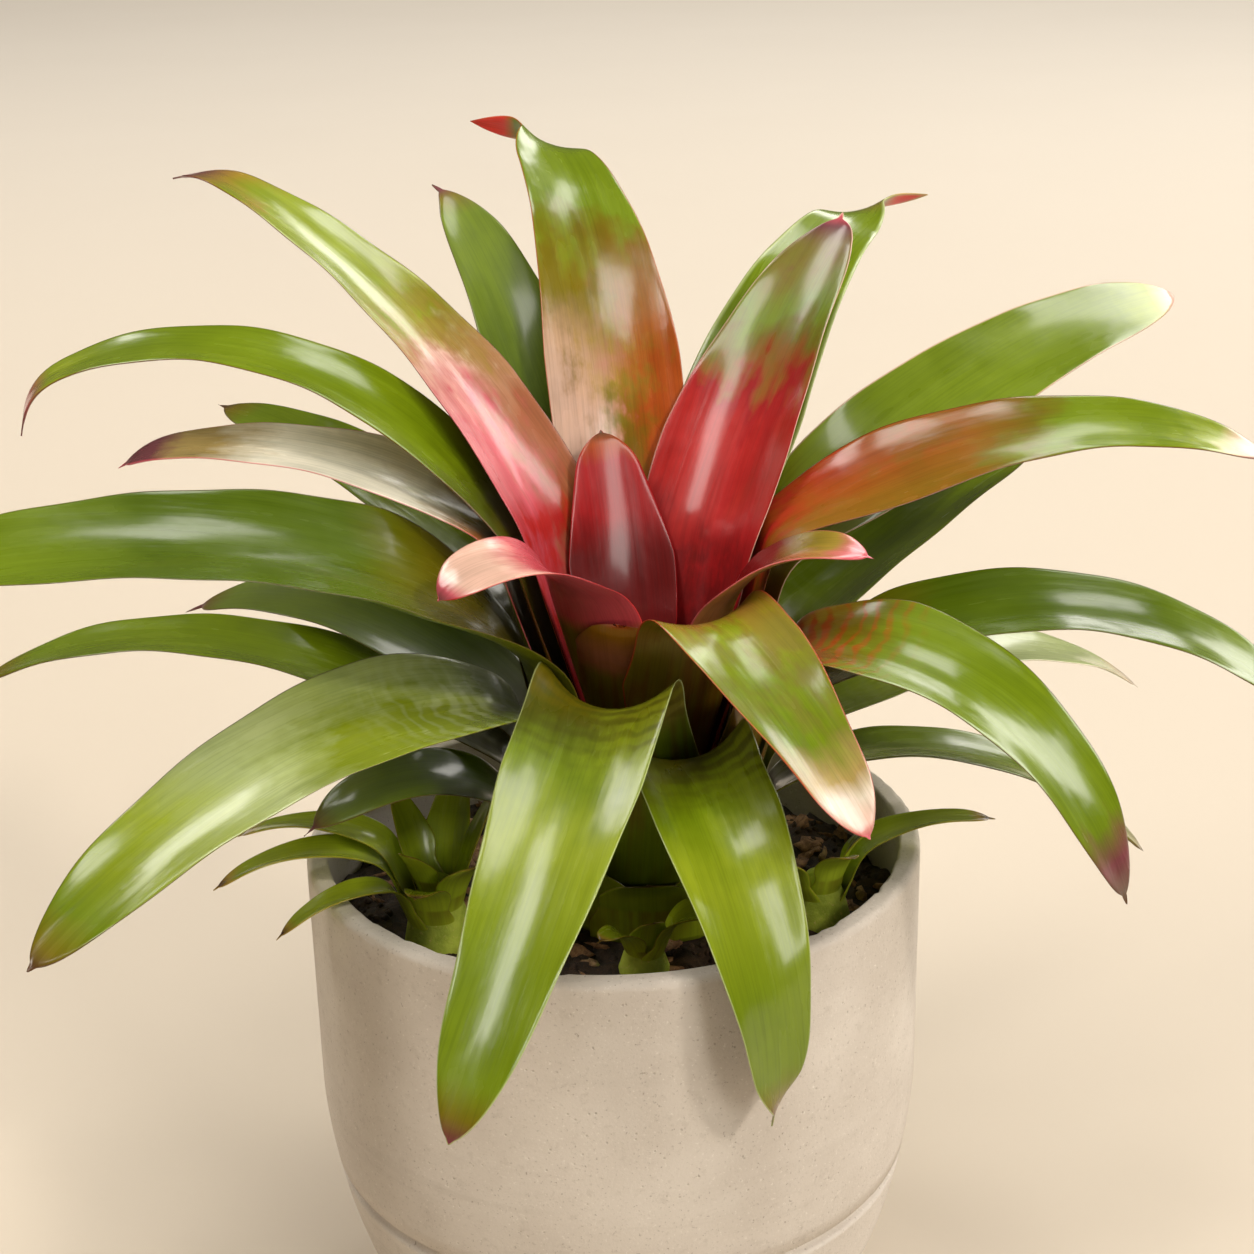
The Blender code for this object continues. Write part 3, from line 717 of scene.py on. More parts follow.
INK = {
    "fresh": (0.50, 0.62, 0.03),
    "lime": (0.232, 0.288, 0.010),
    "leaf": (0.140, 0.200, 0.003),
    "deep": (0.064, 0.102, 0.002),
    "moss": (0.064, 0.070, 0.002),
    "olive": (0.152, 0.116, 0.002),
    "gold": (0.304, 0.200, 0.020),
    "tan": (0.368, 0.256, 0.080),
    "bronze": (0.240, 0.092, 0.006),
    "ember": (0.352, 0.060, 0.006),
    "cherry": (0.448, 0.016, 0.014),
    "crimson": (0.336, 0.005, 0.007),
    "wine": (0.117, 0.003, 0.003),
    "scarlet": (0.768, 0.034, 0.024),
    "rose": (0.54, 0.085, 0.115),
    "blush": (0.70, 0.43, 0.34),
    # chalk: a pale chalky tone for pale margins and tips, also laid as painted glare low on the left of the
    # top leaf and on the tip of the folded front leaf
    "chalk": (0.710, 0.595, 0.480),
    # cream: a near-white cream, laid as painted glare over the middle of the left leaf and used as that
    # leaf's underside tint
    "cream": (0.97, 0.89, 0.74),
    "plum": (0.153, 0.032, 0.041),
    "umber": (0.090, 0.038, 0.011),
    # silver: a silvery grey-green for the scurf bands and the pale margins and blades, and laid down the
    # middle of the banded leaf as painted sheen
    "silver": (0.403, 0.461, 0.192),
}
# stops: colours along the blade, each with its place. sheath: ink of its outer face. under: tint of
# the underside. margin, edge: ink of the margin and its width in mm. mottle: how ragged the changes
# of colour are. bands: cross bands as (strength, ink, place where they end). flushes: washes, each
# an ink, its amount, the places where it is full and gone, and its side, 1 for the left margin, -1
# for the right, 0 for both. matt: how much duller than the other leaves it is.
Look = namedtuple("Look", "stops sheath under margin edge mottle bands flushes matt", defaults=((), "", 0.0))
LOOKS = {
    "green": Look(
        "0 olive, 0.12 moss, 0.26 leaf, 0.9 leaf, 0.97 olive, 1 umber",
        "leaf", "leaf", "umber", 0.4, 0.08, bands=(0.1, "silver", 0.4)),
    "lime": Look(
        "0 tan, 0.04 olive, 0.16 moss, 0.28 leaf, 0.45 lime, 0.7 leaf, 0.9 leaf, 0.96 olive, 1 plum, "
        "1.04 umber",
        "leaf", "olive", "silver", 0.5, 0.1, bands=(0.8, "moss", 0.3), flushes="lime 0.5 0.3 0.9 1"),
    "deep": Look(
        "0 olive, 0.12 moss, 0.3 deep, 0.9 leaf, 0.97 olive, 1 plum",
        "leaf", "leaf", "umber", 0.4, 0.08, matt=0.25),
    "wide_green": Look(
        "0 olive, 0.16 olive, 0.36 deep, 0.65 deep, 1 leaf",
        "olive", "leaf", "umber", 0.4, 0.06, flushes="olive 0.7 0.05 0.4 0"),
    "banded": Look(
        # the silver in the middle of this blade and its wash along the right side are painted sheen; its
        # cross bands are its own silvery scurf
        "0 leaf, 0.22 lime, 0.4 lime, 0.55 silver, 0.75 lime, 0.9 leaf, 0.97 olive, 1 umber",
        "leaf", "leaf", "umber", 0.4, 0.14, bands=(0.7, "silver", 0.4), flushes="silver 0.7 0.2 0.8 -1"),
    "flushed": Look(
        "0 ember, 0.08 gold, 0.18 olive, 0.3 leaf, 0.82 leaf, 0.93 plum, 1 umber",
        "olive", "olive", "umber", 0.5, 0.16, bands=(1.0, "ember", 0.36),
        flushes="ember 1.0 0.06 0.3 -1, ember 0.9 0.04 0.2 0"),
    "top": Look(
        "0 bronze, 0.14 olive, 0.3 gold, 0.42 olive, 0.52 olive, 0.64 leaf, 0.8 leaf, 1.0 leaf, "
        "1.03 scarlet, 1.1 scarlet",
        "olive", "leaf", "ember", 0.5, 0.2,
        # the chalk wash low on the left of this blade is painted glare
        flushes="ember 1.0 0.2 0.66 -1, rose 0.5 0.2 0.5 1, chalk 0.5 0.2 0.5 1"),
    "upper_left": Look(
        "0 cherry, 0.1 rose, 0.24 rose, 0.34 blush, 0.44 lime, 0.8 lime, 0.9 gold, 0.97 plum",
        "ember", "olive", "wine", 0.5, 0.2,
        flushes="crimson 0.7 0.0 0.16 0, rose 0.6 0.34 0.6 0, olive 0.6 0.4 0.7 -1"),
    "arching_left": Look(
        "0 olive, 0.1 moss, 0.24 leaf, 0.8 leaf, 0.9 lime, 0.96 rose, 1.0 plum",
        "olive", "lime", "wine", 0.4, 0.08),
    # this blade's middle is painted near-white: painted glare that stands in for its sheen and lifts it out
    # of the shade of the leaf above; its foot and tip keep their own bronze, gold and tan
    "cream": Look(
        "0 bronze, 0.1 gold, 0.24 cream, 0.4 cream, 0.62 cream, 0.78 tan, 0.86 tan, 0.92 plum, 1 plum",
        "moss", "cream", "rose", 0.8, 0.18, flushes="ember 0.8 0.04 0.24 1, gold 0.3 0.3 0.9 -1"),
    "red_right": Look(
        "0 cherry, 0.12 ember, 0.26 bronze, 0.42 bronze, 0.52 olive, 0.62 leaf, 0.78 leaf, 0.9 lime, "
        "0.96 blush, 1 chalk",
        "ember", "olive", "wine", 0.5, 0.2,
        flushes="cherry 0.8 0.05 0.3 1, ember 0.9 0.2 0.56 0, olive 0.6 0.3 0.6 -1"),
    "broad_right": Look(
        "0 olive, 0.25 leaf, 0.6 leaf, 0.84 leaf, 0.93 lime, 0.98 blush, 1 blush",
        "olive", "leaf", "blush", 0.6, 0.1, matt=0.08),
    "twisted": Look(
        "0 leaf, 0.5 leaf, 0.9 leaf, 0.98 gold, 1.02 scarlet, 1.1 scarlet",
        "olive", "leaf", "silver", 1.6, 0.1),
    "heart_big": Look(
        "0 crimson, 0.16 cherry, 0.26 cherry, 0.34 cherry, 0.42 crimson, 0.5 bronze, 0.58 olive, "
        "0.7 leaf, 0.9 olive, 0.97 plum, 1 rose",
        "ember", "olive", "blush", 0.5, 0.26,
        flushes="wine 0.4 0.0 0.4 1, crimson 0.8 0.3 0.62 -1, wine 0.6 0.0 0.12 0", matt=0.1),
    "heart": Look(
        # the wine over much of these innermost blades is partly their own dark red and partly painted shade
        # deep in the cup
        "0 wine, 0.3 wine, 0.55 crimson, 0.84 crimson, 0.94 ember, 1 umber",
        "olive", "wine", "crimson", 0.4, 0.15,
        flushes="wine 0.7 0.1 0.9 -1, wine 0.9 0.2 0.6 0", matt=0.15),
    "pink_heart": Look(
        "0 cherry, 0.2 rose, 0.5 rose, 0.66 blush, 0.88 blush, 0.95 rose, 1 plum",
        "olive", "rose", "cherry", 0.5, 0.16, flushes="cherry 0.6 0.1 0.5 1"),
    "heart_right": Look(
        "0 crimson, 0.15 wine, 0.45 wine, 0.58 olive, 0.8 gold, 0.93 rose, 1 rose",
        "gold", "gold", "rose", 0.9, 0.16, flushes="rose 0.6 0.5 1.0 -1"),
    "folded_front": Look(
        # its pale tip is partly its own chalky colour and partly painted glare
        "0 tan, 0.06 olive, 0.2 lime, 0.45 leaf, 0.66 leaf, 0.8 tan, 0.88 chalk, 0.96 blush, 1 rose",
        "olive", "olive", "cherry", 0.7, 0.1,
        flushes="ember 0.35 0.1 0.3 0, bronze 0.4 0.1 0.8 1, plum 0.25 0.8 1.0 0"),
    "small_front": Look(
        "0 rose, 0.3 rose, 0.7 ember, 1 ember",
        "olive", "olive", "wine", 0.4, 0.15, bands=(0.3, "ember", 0.5)),
    "pale_right": Look(
        "0 leaf, 0.35 lime, 0.6 silver, 0.9 silver, 0.94 tan, 0.98 umber",
        "moss", "silver", "chalk", 0.4, 0.12, bands=(0.1, "silver", 0.5)),
    "scale": Look(
        "0 leaf, 0.4 lime, 0.8 leaf, 1 umber",
        "lime", "lime", "umber", 0.5, 0.2),
    "young": Look(
        "0 fresh, 0.2 fresh, 0.5 lime, 0.86 lime, 0.93 gold, 0.98 umber",
        "fresh", "fresh", "gold", 0.3, 0.1),
}

# the leaves from the heart outward: angles in degrees, lengths in mm. order: place in the spiral.
# fold: height where blade and sheath meet. launch, tip: pitch of the blade at its two ends. hook,
# curl, twist: how far the tip bends down, aside and round.
Blade = namedtuple(
    "Blade",
    "name azimuth order fold launch tip bend length width turn roll hook neck tail tail_width look "
    "curl twist",
    defaults=(0, 0),
)
BLADES = [Blade(*row) for row in (
    ("heart_leaf_centre", 318, 0, 234, 76, 70, 1.0, 20, 16, 0, 0, 0, 1.0, 0, 0, "heart"),
    ("heart_leaf_back", 107, 1, 235, 74, 67, 1.0, 60, 37, 4, 0, 0, 0.95, 1, 1.5, "heart"),
    ("heart_leaf_right", 334, 2, 243, 66, -18, 1.3, 60, 36, 10, 2, 0, 0.95, 2, 1.5, "heart_right"),
    ("heart_leaf_left", 226, 3, 250, 67, -40, 1.2, 63, 40, -20, -6, 0, 1.05, 1, 1.5, "pink_heart"),
    ("inner_leaf_back_right", 54, 5, 254, 58, 38, 1.35, 126, 52, -6, 0, 0, 0.9, 3, 2, "heart_big", 20, 0),
    ("heart_leaf_front", 255, 5, 236, 76, 72, 1, 16, 34, 0, 0, 0, 1.05, 0, 0, "small_front"),
    ("inner_leaf_back_left", 147, 5, 263, 58, 19, 1, 182, 46, 8, 2, 30, 0.95, 4, 2, "upper_left"),
    ("inner_leaf_front_right", 298, 7, 247, 0, -50, 0.7, 97, 40, 18, 2, 0, 1.0, 1, 2, "folded_front"),
    ("inner_leaf_right", 15, 9, 258, 24, -27, 1.6, 183, 34, -8, 28, 0, 0.8, 0, 0, "red_right"),
    ("inner_leaf_left_back", 171, 9.5, 259, 60, -37, 1.2, 196, 32, 8, -14, 40, 0.9, 3, 2, "arching_left"),
    ("inner_leaf_back", 98, 12, 260, 64, -4, 1.7, 181, 48, 13, 2, -14, 0.85, 18, 11, "top", 70, 60),
    ("inner_leaf_left", 173, 14, 261, 46, -11, 0.75, 132, 39, 1, -9, 20, 0.9, 3, 2, "cream"),
    ("upper_leaf_back_right", 62, 14, 246, 56, -6, 1.4, 190, 44, 0, 14, -12, 0.75, 16, 9,
     "twisted", -60, -60),
    ("upper_leaf_right", 33, 17, 244, 36, -5, 1.0, 225, 40, 12, 46, 0, 0.75, 0, 0, "broad_right"),
    ("upper_leaf_back_left", 117, 16, 243, 66, 24, 1.3, 156, 37, 2, -6, 0, 0.65, 4, 2, "deep", 40, 0),
    ("upper_leaf_left", 203, 16.5, 225, 72, -2, 0.42, 210, 60, 8, -18, 0, 0.75, 0, 0, "wide_green"),
    ("middle_leaf_front", 255, 19, 229, -12, -53, 0.65, 154, 44, -20, -3, 0, 1.0, 1, 2, "lime"),
    ("middle_leaf_right_back", 27, 19, 214, 32, 26, 1.0, 131, 41, -7, 1, 0, 0.7, 1, 2, "green"),
    ("middle_leaf_left_back", 147, 19.5, 234, 38, 2, 0.9, 150, 38, -7, -10, 0, 0.85, 4, 2, "green"),
    ("middle_leaf_right_front", 333, 21, 229, 43, -72, 0.7, 149, 44, -3, 12, 0, 0.85, 3, 2, "flushed"),
    ("middle_leaf_left_front", 212, 22, 212, 54, -34, 0.4, 184, 50, 8, -14, 0, 0.8, 2, 2, "banded"),
    ("middle_leaf_right", 354, 23, 206, 42, -43, 1.25, 182, 40, -10, 15, 0, 0.5, 0, 0, "wide_green"),
    ("lower_leaf_front", 283, 24, 207, 9, -99, 0.8, 132, 40, 33, 2, 0, 1.05, 4, 1.5, "lime", 60, 0),
    ("middle_leaf_back", 85, 24, 206, 44, -22, 1.0, 170, 44, 0, 0, 0, 0.9, 0, 0, "green"),
    ("lower_leaf_left_back", 163, 26, 195, 43, -25, 1.35, 136, 40, -8, -12, 0, 0.85, 8, 1.5, "deep"),
    ("lower_leaf_right", 21, 26, 188, 20, -40, 1.6, 162, 36, 4, 8, 0, 0.8, 3, 2, "pale_right"),
    ("lower_leaf_back_left", 132, 28, 194, 42, -36, 1.0, 168, 42, 0, 0, 0, 0.9, 0, 0, "green"),
    ("lower_leaf_right_front", 350, 28, 178, 44, -48, 0.9, 138, 32, -4, -4, 0, 0.8, 0, 0, "green"),
    ("lower_leaf_left", 176, 30, 187, 34, -30, 1.5, 192, 36, -2, -6, 0, 0.8, 0, 0, "green"),
    ("lower_leaf_back_right", 62, 30, 188, 40, -42, 1.0, 164, 42, 0, 0, 0, 0.85, 0, 0, "green"),
    ("lower_leaf_left_front", 206, 32.5, 175, 70, -36, 0.9, 86, 34, -4, -8, 0, 0.85, 4, 2, "deep"),
    ("lowest_leaf_back", 108, 32, 178, 38, -52, 1.0, 150, 40, 0, 0, 0, 0.9, 0, 0, "green"),
)]

# how far in mm the two corners of a fold stand up, left and right, and how far its middle sags
LIPS = {
    "middle_leaf_front": (2, 5, 8),
    "lower_leaf_front": (8, 3, 2),
    "inner_leaf_front_right": (2, 0, 2),
    "middle_leaf_right_front": (3, 3, 0),
    "heart_leaf_left": (3, 2, 0),
    "heart_leaf_right": (2, 2, 0),
    "heart_leaf_front": (2, 2, 0),
}


BAND_PITCH = 1250.0
BAND_CURVE = 3.2
BAND_SWAY = 14.0
SHADE = (0.4, 0.45, 0.4)
SOFT_SHADE = (0.45, 0.5, 0.45)
CUP_SHADE = (0.12, 0.09, 0.09)


def marked(tree, label):
    """one of the marks that the leaf was grown with"""
    node = tree.nodes.new("ShaderNodeAttribute")
    node.attribute_name = label
    return Term(node.outputs["Fac"])


def leaf_skin(name, look):
    """the leaf's finish: colours along the blade, washes, bands, veins, margin and underside"""
    made, tree, shader = finish(name)
    along, across, edge = (marked(tree, label) for label in ("along", "across", "edge"))
    face, number = marked(tree, "face"), marked(tree, "number")
    joined = tree.nodes.new("ShaderNodeCombineXYZ")
    reach = marked(tree, "reach")
    for socket, value in zip(joined.inputs, (marked(tree, "offset"), reach, number * 0.1)):
        feed(socket, value)
    spot = joined.outputs[0]
    vein = noise_of(stretched(spot, (1, 0.02, 1)), 1500, 2, 0.5)
    streak = noise_of(stretched(spot, (1, 0.025, 1)), 300, 1, 0.4)
    cloud = noise_of(stretched(spot, (1, 0.6, 1)), 55, 3, 0.55)
    fleck = noise_of(stretched(spot, (1, 0.5, 1)), 210, 3, 0.6)
    ragged = along + (cloud - 0.5) * (2.0 * look.mottle) + (fleck - 0.5) * (0.7 * look.mottle)
    ragged = ragged + (streak - 0.5) * (0.3 * look.mottle)
    tip_guard = ranged(along, 0.82, 0.94)
    ragged = (ragged + (along - ragged) * tip_guard) * worked("GREATER_THAN", along, 0.0)
    ramp = tree.nodes.new("ShaderNodeValToRGB")
    feed(ramp.inputs[0], ranged(ragged, -0.05, 1.15, 0.0, 1.0, "LINEAR"))
    ramp.color_ramp.interpolation = "LINEAR"
    points = ramp.color_ramp.elements
    stops = [stop.split() for stop in look.stops.split(", ")]
    while len(points) < len(stops):
        points.new(0.5)
    for point, (where, ink) in zip(points, stops):
        point.position = (float(where) + 0.05) / 1.2
        point.color = (*INK[ink], 1.0)
    colour = ramp.outputs[0]
    for flush in filter(None, look.flushes.split(", ")):
        ink, *numbers = flush.split()
        amount, full, gone, side = (float(number) for number in numbers)
        wash = ranged(ragged, full, gone, amount, 0.0)
        if side:
            wash = wash * ranged(across * side + (fleck + cloud - 1.0) * 1.6, -0.25, 0.75)
        else:
            wash = wash * ranged(fleck + cloud, 0.8, 1.15)
        colour = tinted(wash, colour, INK[ink])
    if look.bands:
        strength, ink, last = look.bands
        drift = noise_of(stretched(spot, (1, 0.6, 1)), 75, 2, 0.5)
        wave = sine(reach * BAND_PITCH + across * across * BAND_CURVE + drift * BAND_SWAY)
        band = wave * 0.5 + (streak - 0.5) * 0.5 + ranged(cloud, 0.4, 0.6, -0.3, 0.3)
        bands = ranged(band, -0.2, 0.6, 0.0, strength) * ranged(ragged, 0.5 * last, last, 1.0, 0.0)
        colour = tinted(bands, colour, INK[ink])
    colour = tinted(ranged(cloud, 0.3, 0.65, 0.35, 0.0), colour, SOFT_SHADE, "MULTIPLY")
    colour = tinted(ranged(streak, 0.3, 0.7, 0.14, 0.0), colour, SHADE, "MULTIPLY")
    tint = ranged(along, 0.9, 1.0, 0.55, 0.0) * worked("LESS_THAN", face, 0.0)
    colour = tinted(tint, colour, INK[look.under])
    inside = ranged(along, -0.6, -0.02, 0.8, 0.0) * worked("GREATER_THAN", face, 0.0)
    colour = tinted(inside, colour, CUP_SHADE, "MULTIPLY")
    outside = worked("LESS_THAN", face, 0.0) * ranged(along, -0.12, 0.02, 1.0, 0.0)
    stain = ranged(streak + cloud, 0.85, 1.15, 0.0, 0.45) * ranged(along, -1.0, -0.1, 0.3, 1.0)
    colour = tinted(outside, colour, tinted(stain, INK[look.sheath], INK["wine"]))
    colour = tinted(ranged(vein, 0.42, 0.66, 0.0, 0.22), colour, SHADE, "MULTIPLY")
    colour = tinted(ranged(edge, 0.1, look.edge, 0.7, 0.0), colour, INK[look.margin])
    feed(shader.inputs["Base Color"], colour)
    gloss = ranged(cloud, 0.3, 0.7, 0.20, 0.29) + ranged(face, -1.0, 1.0, 0.16, 0.0)
    gloss = gloss + ranged(along, 0.0, 0.2, 0.2 + look.matt, look.matt)
    feed(shader.inputs["Roughness"], gloss + (streak - 0.5) * 0.2)
    relief = bumped(cloud, 0.3, 0.0022)
    relief = bumped(streak, 0.3, 0.0006, relief)
    relief = bumped(vein, 0.3, 0.0001, relief)
    feed(shader.inputs["Normal"], relief)
    shader.inputs["Specular IOR Level"].default_value = 0.26
    shader.inputs["Coat Weight"].default_value = 0.55
    shader.inputs["Coat Roughness"].default_value = 0.14
    return made


skins = {key: leaf_skin("leaf_" + key, look) for key, look in LOOKS.items()}
growing = leaf_tree()


def leaf_sizes(leaf):
    """one row of a table of leaves in the tree's own units, radians and metres"""
    sizes = {label: radians(getattr(leaf, label)) for label in LEAF_ANGLES}
    sizes |= {label: getattr(leaf, label) / 1000 for label in LEAF_LENGTHS}
    return sizes | {label: float(getattr(leaf, label)) for label in LEAF_RATIOS}


def grown(name, values):
    """one leaf as a plain mesh, from its named sizes"""
    return worked_out(name, bpy.data.meshes.new(name), growing, values)


# short scales at the foot: azimuth, order, fold, launch, tip, length and width
SCALES = (
    ("foot_scale_front_left", 236, 33.5, 163, 60, 40, 14, 34),
    ("foot_scale_front", 268, 34.5, 160, 62, 45, 12, 32),
    ("foot_scale_front_right", 303, 33.5, 164, 58, 35, 16, 34),
    ("foot_scale_right", 338, 34.5, 160, 62, 40, 12, 30),
    ("foot_scale_right_back", 40, 34, 160, 60, 40, 12, 32),
    ("foot_scale_back", 85, 34, 158, 62, 45, 11, 30),
    ("foot_scale_left_back", 150, 34, 159, 60, 40, 12, 32),
)
for name, azimuth, order, fold, launch, tip, length, width in SCALES:
    plain = (0, 0, 0, 1.0, 1, 2, "scale")
    BLADES.append(Blade(name, azimuth, order, fold, launch, tip, 1.0, length, width, *plain))

for number, blade in enumerate(BLADES):
    foot = sheath_base(blade.order)
    reach = FIRST_SHEATH + blade.order * SHEATH_STEP + (foot - SOIL_HEIGHT) / tan(radians(SHEATH_PITCH))
    lips = LIPS.get(blade.name, (0, 0, 0))
    leaf = grown(blade.name + "_blade", {
        **leaf_sizes(blade), "crown_x": CROWN_X, "crown_y": CROWN_Y, "foot_reach": reach,
        "foot_height": foot, "sheath_pitch": radians(SHEATH_PITCH),
        "spread": radians(SHEATH_SPREAD), "channel": CHANNEL_RADIUS, "thickness": LEAF_THICKNESS,
        "ripple": LEAF_RIPPLE, "number": float(number), "lip_left": lips[0] / 1000,
        "lip_right": lips[1] / 1000, "sag": lips[2] / 1000, "Finish": skins[blade.look],
    })
    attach(leaf, "root")
    if blade.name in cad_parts:
        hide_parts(blade.name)


# Three young offsets stand at the foot of the rosette, each a small soft bulb of pale bracts with
# short pointed leaves of its own, yellow-green with drying tips.
PUP_PITCH = 70
PUP_ORDERS = 9
BULB_SIDES = 40
BULB_DEPTH = 0.0075
# leaves: azimuth, order, fold, launch, tip, length, width and turn, in degrees and mm
Pup = namedtuple("Pup", "node x y bulb_radius bulb_height leaves")
PUPS = (
    Pup("left_pup", -56, -30, 11, 24, (
        (182, 8, 22, 30, -35, 62, 17, 8),
        (168, 7, 26, 32, -30, 58, 16, -6),
        (214, 9, 16, 34, -40, 48, 13, -10),
        (262, 8, 17, 45, 10, 22, 15, 0),
        (310, 6, 20, 55, 30, 20, 15, 0),
        (20, 4, 24, 70, 62, 26, 11, 0),
        (75, 5, 24, 60, 50, 30, 16, 0),
        (130, 3, 26, 65, 50, 22, 14, 0),
        (235, 2, 25, 60, 40, 14, 14, 0),
    )),
    Pup("right_pup", 66, -20, 10, 18, (
        (12, 8, 17, 32, -8, 50, 15, -14),
        (185, 6, 14, 60, 45, 20, 14, 0),
        (215, 7, 16, 45, 0, 24, 14, 0),
        (290, 5, 18, 50, 20, 22, 13, 0),
        (350, 3, 20, 60, 40, 16, 12, 0),
    )),
    Pup("front_pup", 9, -51, 8, 12, (
        (345, 7, 12, 35, -10, 30, 18, 0),
        (225, 6, 10, 30, -10, 16, 14, 0),
        (285, 4, 12, 60, 40, 12, 13, 0),
    )),
)


def mix(a, b, share):
    """from a at share 0 to b at share 1"""
    return a + (b - a) * share


young_bulb = bark_finish("pale_bulb", (0.26, 0.33, 0.03), (0.44, 0.52, 0.06), (0.60, 0.52, 0.14), 90)


def joined_piece(name, objects):
    """several finished meshes as one piece"""
    with bpy.context.temp_override(
        active_object=objects[0], object=objects[0],
        selected_objects=objects, selected_editable_objects=objects,
    ):
        bpy.ops.object.join()
    objects[0].name = name
    return objects[0]


for pup in PUPS:
    radius = pup.bulb_radius / 1000
    top = SOIL_HEIGHT + pup.bulb_height / 1000
    bulb = turned(pup.node + "_bulb", [
        (0.0, top), (0.2 * radius, top - 0.0006), (0.42 * radius, top - 0.002),
        (0.64 * radius, mix(SOIL_HEIGHT, top, 0.72)), (0.8 * radius, mix(SOIL_HEIGHT, top, 0.5)),
        (0.93 * radius, mix(SOIL_HEIGHT, top, 0.22)), (radius, SOIL_HEIGHT + 0.001),
        (0.85 * radius, SOIL_HEIGHT - BULB_DEPTH), (0.0, SOIL_HEIGHT - BULB_DEPTH),
    ], BULB_SIDES)
    bulb.data.transform(Matrix.Translation((pup.x / 1000, pup.y / 1000, 0.0)))
    bulb.data.materials.append(young_bulb)
    group = [bulb]
    for number, row in enumerate(pup.leaves):
        azimuth, order, fold, launch, tip, length, width, turn = row
        age = order / PUP_ORDERS
        foot = SOIL_HEIGHT + mix(0.75, 0.25, age) * pup.bulb_height / 1000
        rest = (1.0, length, width, turn, 0, 0, 0.8, 2, 1, "young")
        young = Blade(pup.node + "_leaf", azimuth, order, fold, launch, tip, *rest)
        group.append(grown(young.name, {
            **leaf_sizes(young), "crown_x": pup.x / 1000, "crown_y": pup.y / 1000,
            "foot_reach": radius * mix(0.25, 0.75, age), "foot_height": foot,
            "fold": max(SOIL_HEIGHT + fold / 1000, foot + 0.001),
            "sheath_pitch": radians(PUP_PITCH), "spread": radians(85), "channel": 0.016,
            "thickness": 0.0009, "ripple": 0.0002, "number": 40.0 + number,
            "Finish": skins[young.look],
        }))
    offset = joined_piece(pup.node + "_offset", group)
    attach(offset, "root")
    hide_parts(pup.node)


# The stem is the short fibrous core that the sheaths are wrapped round, its dark olive finish
# deepened all over as painted shade for the bottom of the cup, where its top shows. It keeps its plain solid
# and gets a finish.
stem_skin_with_painted_shade = bark_finish(
    "olive_stem", (0.020, 0.022, 0.006), (0.055, 0.056, 0.016), (0.10, 0.09, 0.035), 120
)
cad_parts["stem"].data.materials.clear()
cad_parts["stem"].data.materials.append(stem_skin_with_painted_shade)


# The floor is plain and pale, under soft studio light: tall windows on the right and in front, a
# warm fill on the left, a pale screen at the back and a lamp. The camera looks a little down.
FLOOR_HALF = 12.0
FLOOR_NEAR = (0.54, 0.47, 0.385)
FLOOR_FAR = (0.77, 0.715, 0.64)
FLOOR_CLOUD = (0.45, 0.38, 0.30)
corners = [(x * FLOOR_HALF, y * FLOOR_HALF, 0) for x, y in ((-1, -1), (1, -1), (1, 1), (-1, 1))]
floor_mesh = bpy.data.meshes.new("floor")
floor_mesh.from_pydata(corners, [], [(0, 1, 2, 3)])
floor = placed("floor", floor_mesh)
floor_skin, tree, shader = finish("pale_floor")
parted = tree.nodes.new("ShaderNodeSeparateXYZ")
feed(parted.inputs[0], object_place(tree))
# paler towards the back: painted light that makes up for the lamps giving the far floor less light
colour = tinted(ranged(Term(parted.outputs[1]), 0.3, 4.6), FLOOR_NEAR, FLOOR_FAR)
colour = tinted(noise_of(object_place(tree), 3, 3) * 0.08, colour, FLOOR_CLOUD)
feed(shader.inputs["Base Color"], colour)
shader.inputs["Roughness"].default_value = 0.8
floor.data.materials.append(floor_skin)


HEART = Vector((0.01, 0.0, 0.24))
WARM_WHITE = (1.0, 0.965, 0.90)
YELLOW_WHITE = (1.0, 0.76, 0.44)
SCREEN_WHITE = (1.0, 0.91, 0.80)


def area_light(name, place, size, power, colour=WARM_WHITE, sheen=True):
    """a soft light turned to the plant, seen in its gloss only where sheen is asked for"""
    data = bpy.data.lights.new(name, "AREA")
    data.shape = "RECTANGLE"
    data.size, data.size_y = size
    data.energy = power
    data.color = colour
    obj = placed(name, data)
    obj.location = place
    obj.rotation_euler = (HEART - Vector(place)).to_track_quat("-Z", "Y").to_euler()
    obj.visible_camera = False
    obj.visible_glossy = sheen


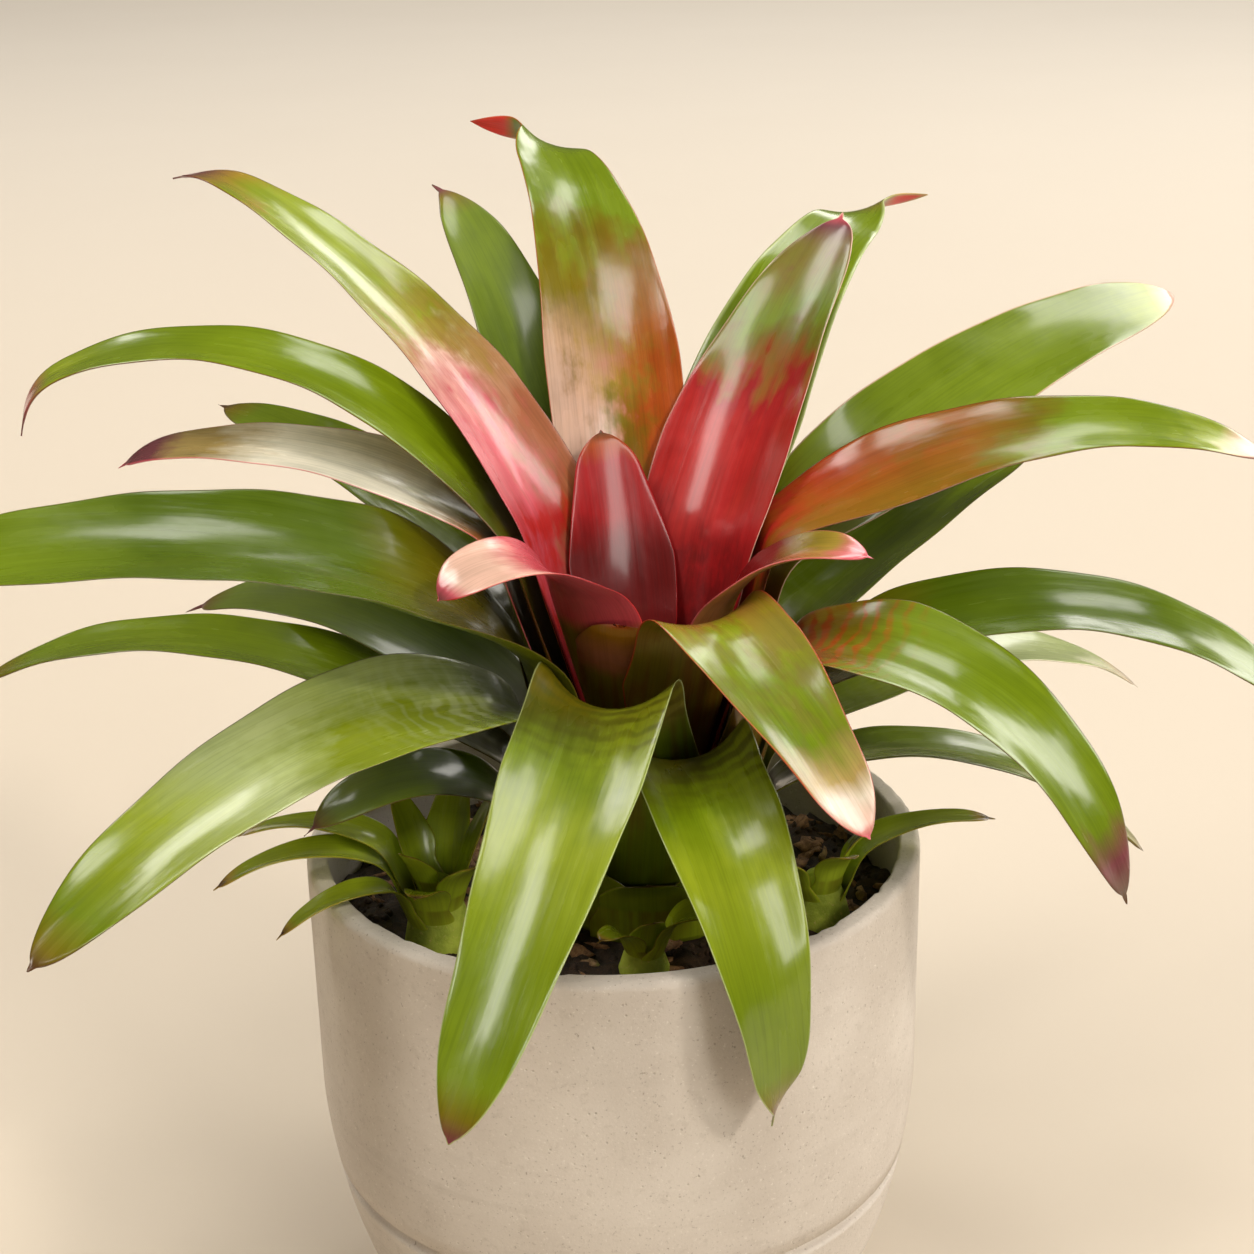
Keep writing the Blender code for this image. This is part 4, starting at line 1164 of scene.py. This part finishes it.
area_light("window_right", (3.29, 1.32, 2.12), (2.8, 1.4), 92)
area_light("window_right_high", (1.10, 1.89, 3.60), (1.2, 0.8), 20)
area_light("window_back", (2.83, 6.33, 4.24), (2.8, 1.8), 90)
area_light("window_top", (0.62, -1.10, 4.06), (1.5, 1.3), 52)
area_light("window_front_left", (-1.79, -1.12, 3.63), (0.8, 2.5), 66)
area_light("window_left_back", (-1.96, 1.65, 3.30), (1.2, 1.0), 36)
area_light("window_front_low", (1.80, -2.55, 1.70), (0.8, 2.2), 46)
area_light("softbox_overhead", (0.2, 0.3, 4.4), (2.4, 2.0), 24, sheen=False)
area_light("fill_left", (-2.5, -2.0, 1.9), (1.8, 1.4), 11, YELLOW_WHITE, sheen=False)
area_light("screen_back", (-1.5, 7.5, 2.6), (12.0, 5.0), 115, SCREEN_WHITE, sheen=False)

lamp_data = bpy.data.lights.new("lamp_right", "SUN")
lamp_data.energy = 1.15
lamp_data.angle = radians(7)
lamp_data.color = (1.0, 0.93, 0.83)
lamp = placed("lamp_right", lamp_data)
lamp.rotation_euler = Vector((-1.0, 0.85, -1.15)).to_track_quat("-Z", "Y").to_euler()
lamp.visible_glossy = False

world = bpy.data.worlds.new("studio")
world.use_nodes = True
sky = world.node_tree.nodes["Background"]
sky.inputs["Color"].default_value = (1.0, 0.88, 0.72, 1.0)
sky.inputs["Strength"].default_value = 0.09
bpy.context.scene.world = world
bpy.context.scene.view_settings.view_transform = "Standard"

CAMERA_PITCH = 21.0
CAMERA_ROLL = -1.234
CAMERA_LENS = 63.16
CAMERA_DISTANCE = 0.722
RIM_PIXEL = (613.3, 830.1)
PHOTO_SIZE = 1254
SENSOR_WIDTH = 36
FOCAL_PIXELS = CAMERA_LENS / SENSOR_WIDTH * PHOTO_SIZE
camera_data = bpy.data.cameras.new("camera")
camera_data.lens = CAMERA_LENS
camera_data.sensor_width = SENSOR_WIDTH
camera_data.clip_start = 0.01
camera = placed("camera", camera_data)
turn = Matrix.Rotation(radians(90 - CAMERA_PITCH), 4, "X") @ Matrix.Rotation(radians(CAMERA_ROLL), 4, "Z")
sight = Vector((
    (RIM_PIXEL[0] - PHOTO_SIZE / 2) / FOCAL_PIXELS,
    -(RIM_PIXEL[1] - PHOTO_SIZE / 2) / FOCAL_PIXELS,
    -1.0,
))
eye = Vector((0, 0, POT_HEIGHT)) - (turn.to_3x3() @ sight) * CAMERA_DISTANCE
camera.matrix_world = Matrix.Translation(eye) @ turn
bpy.context.scene.camera = camera
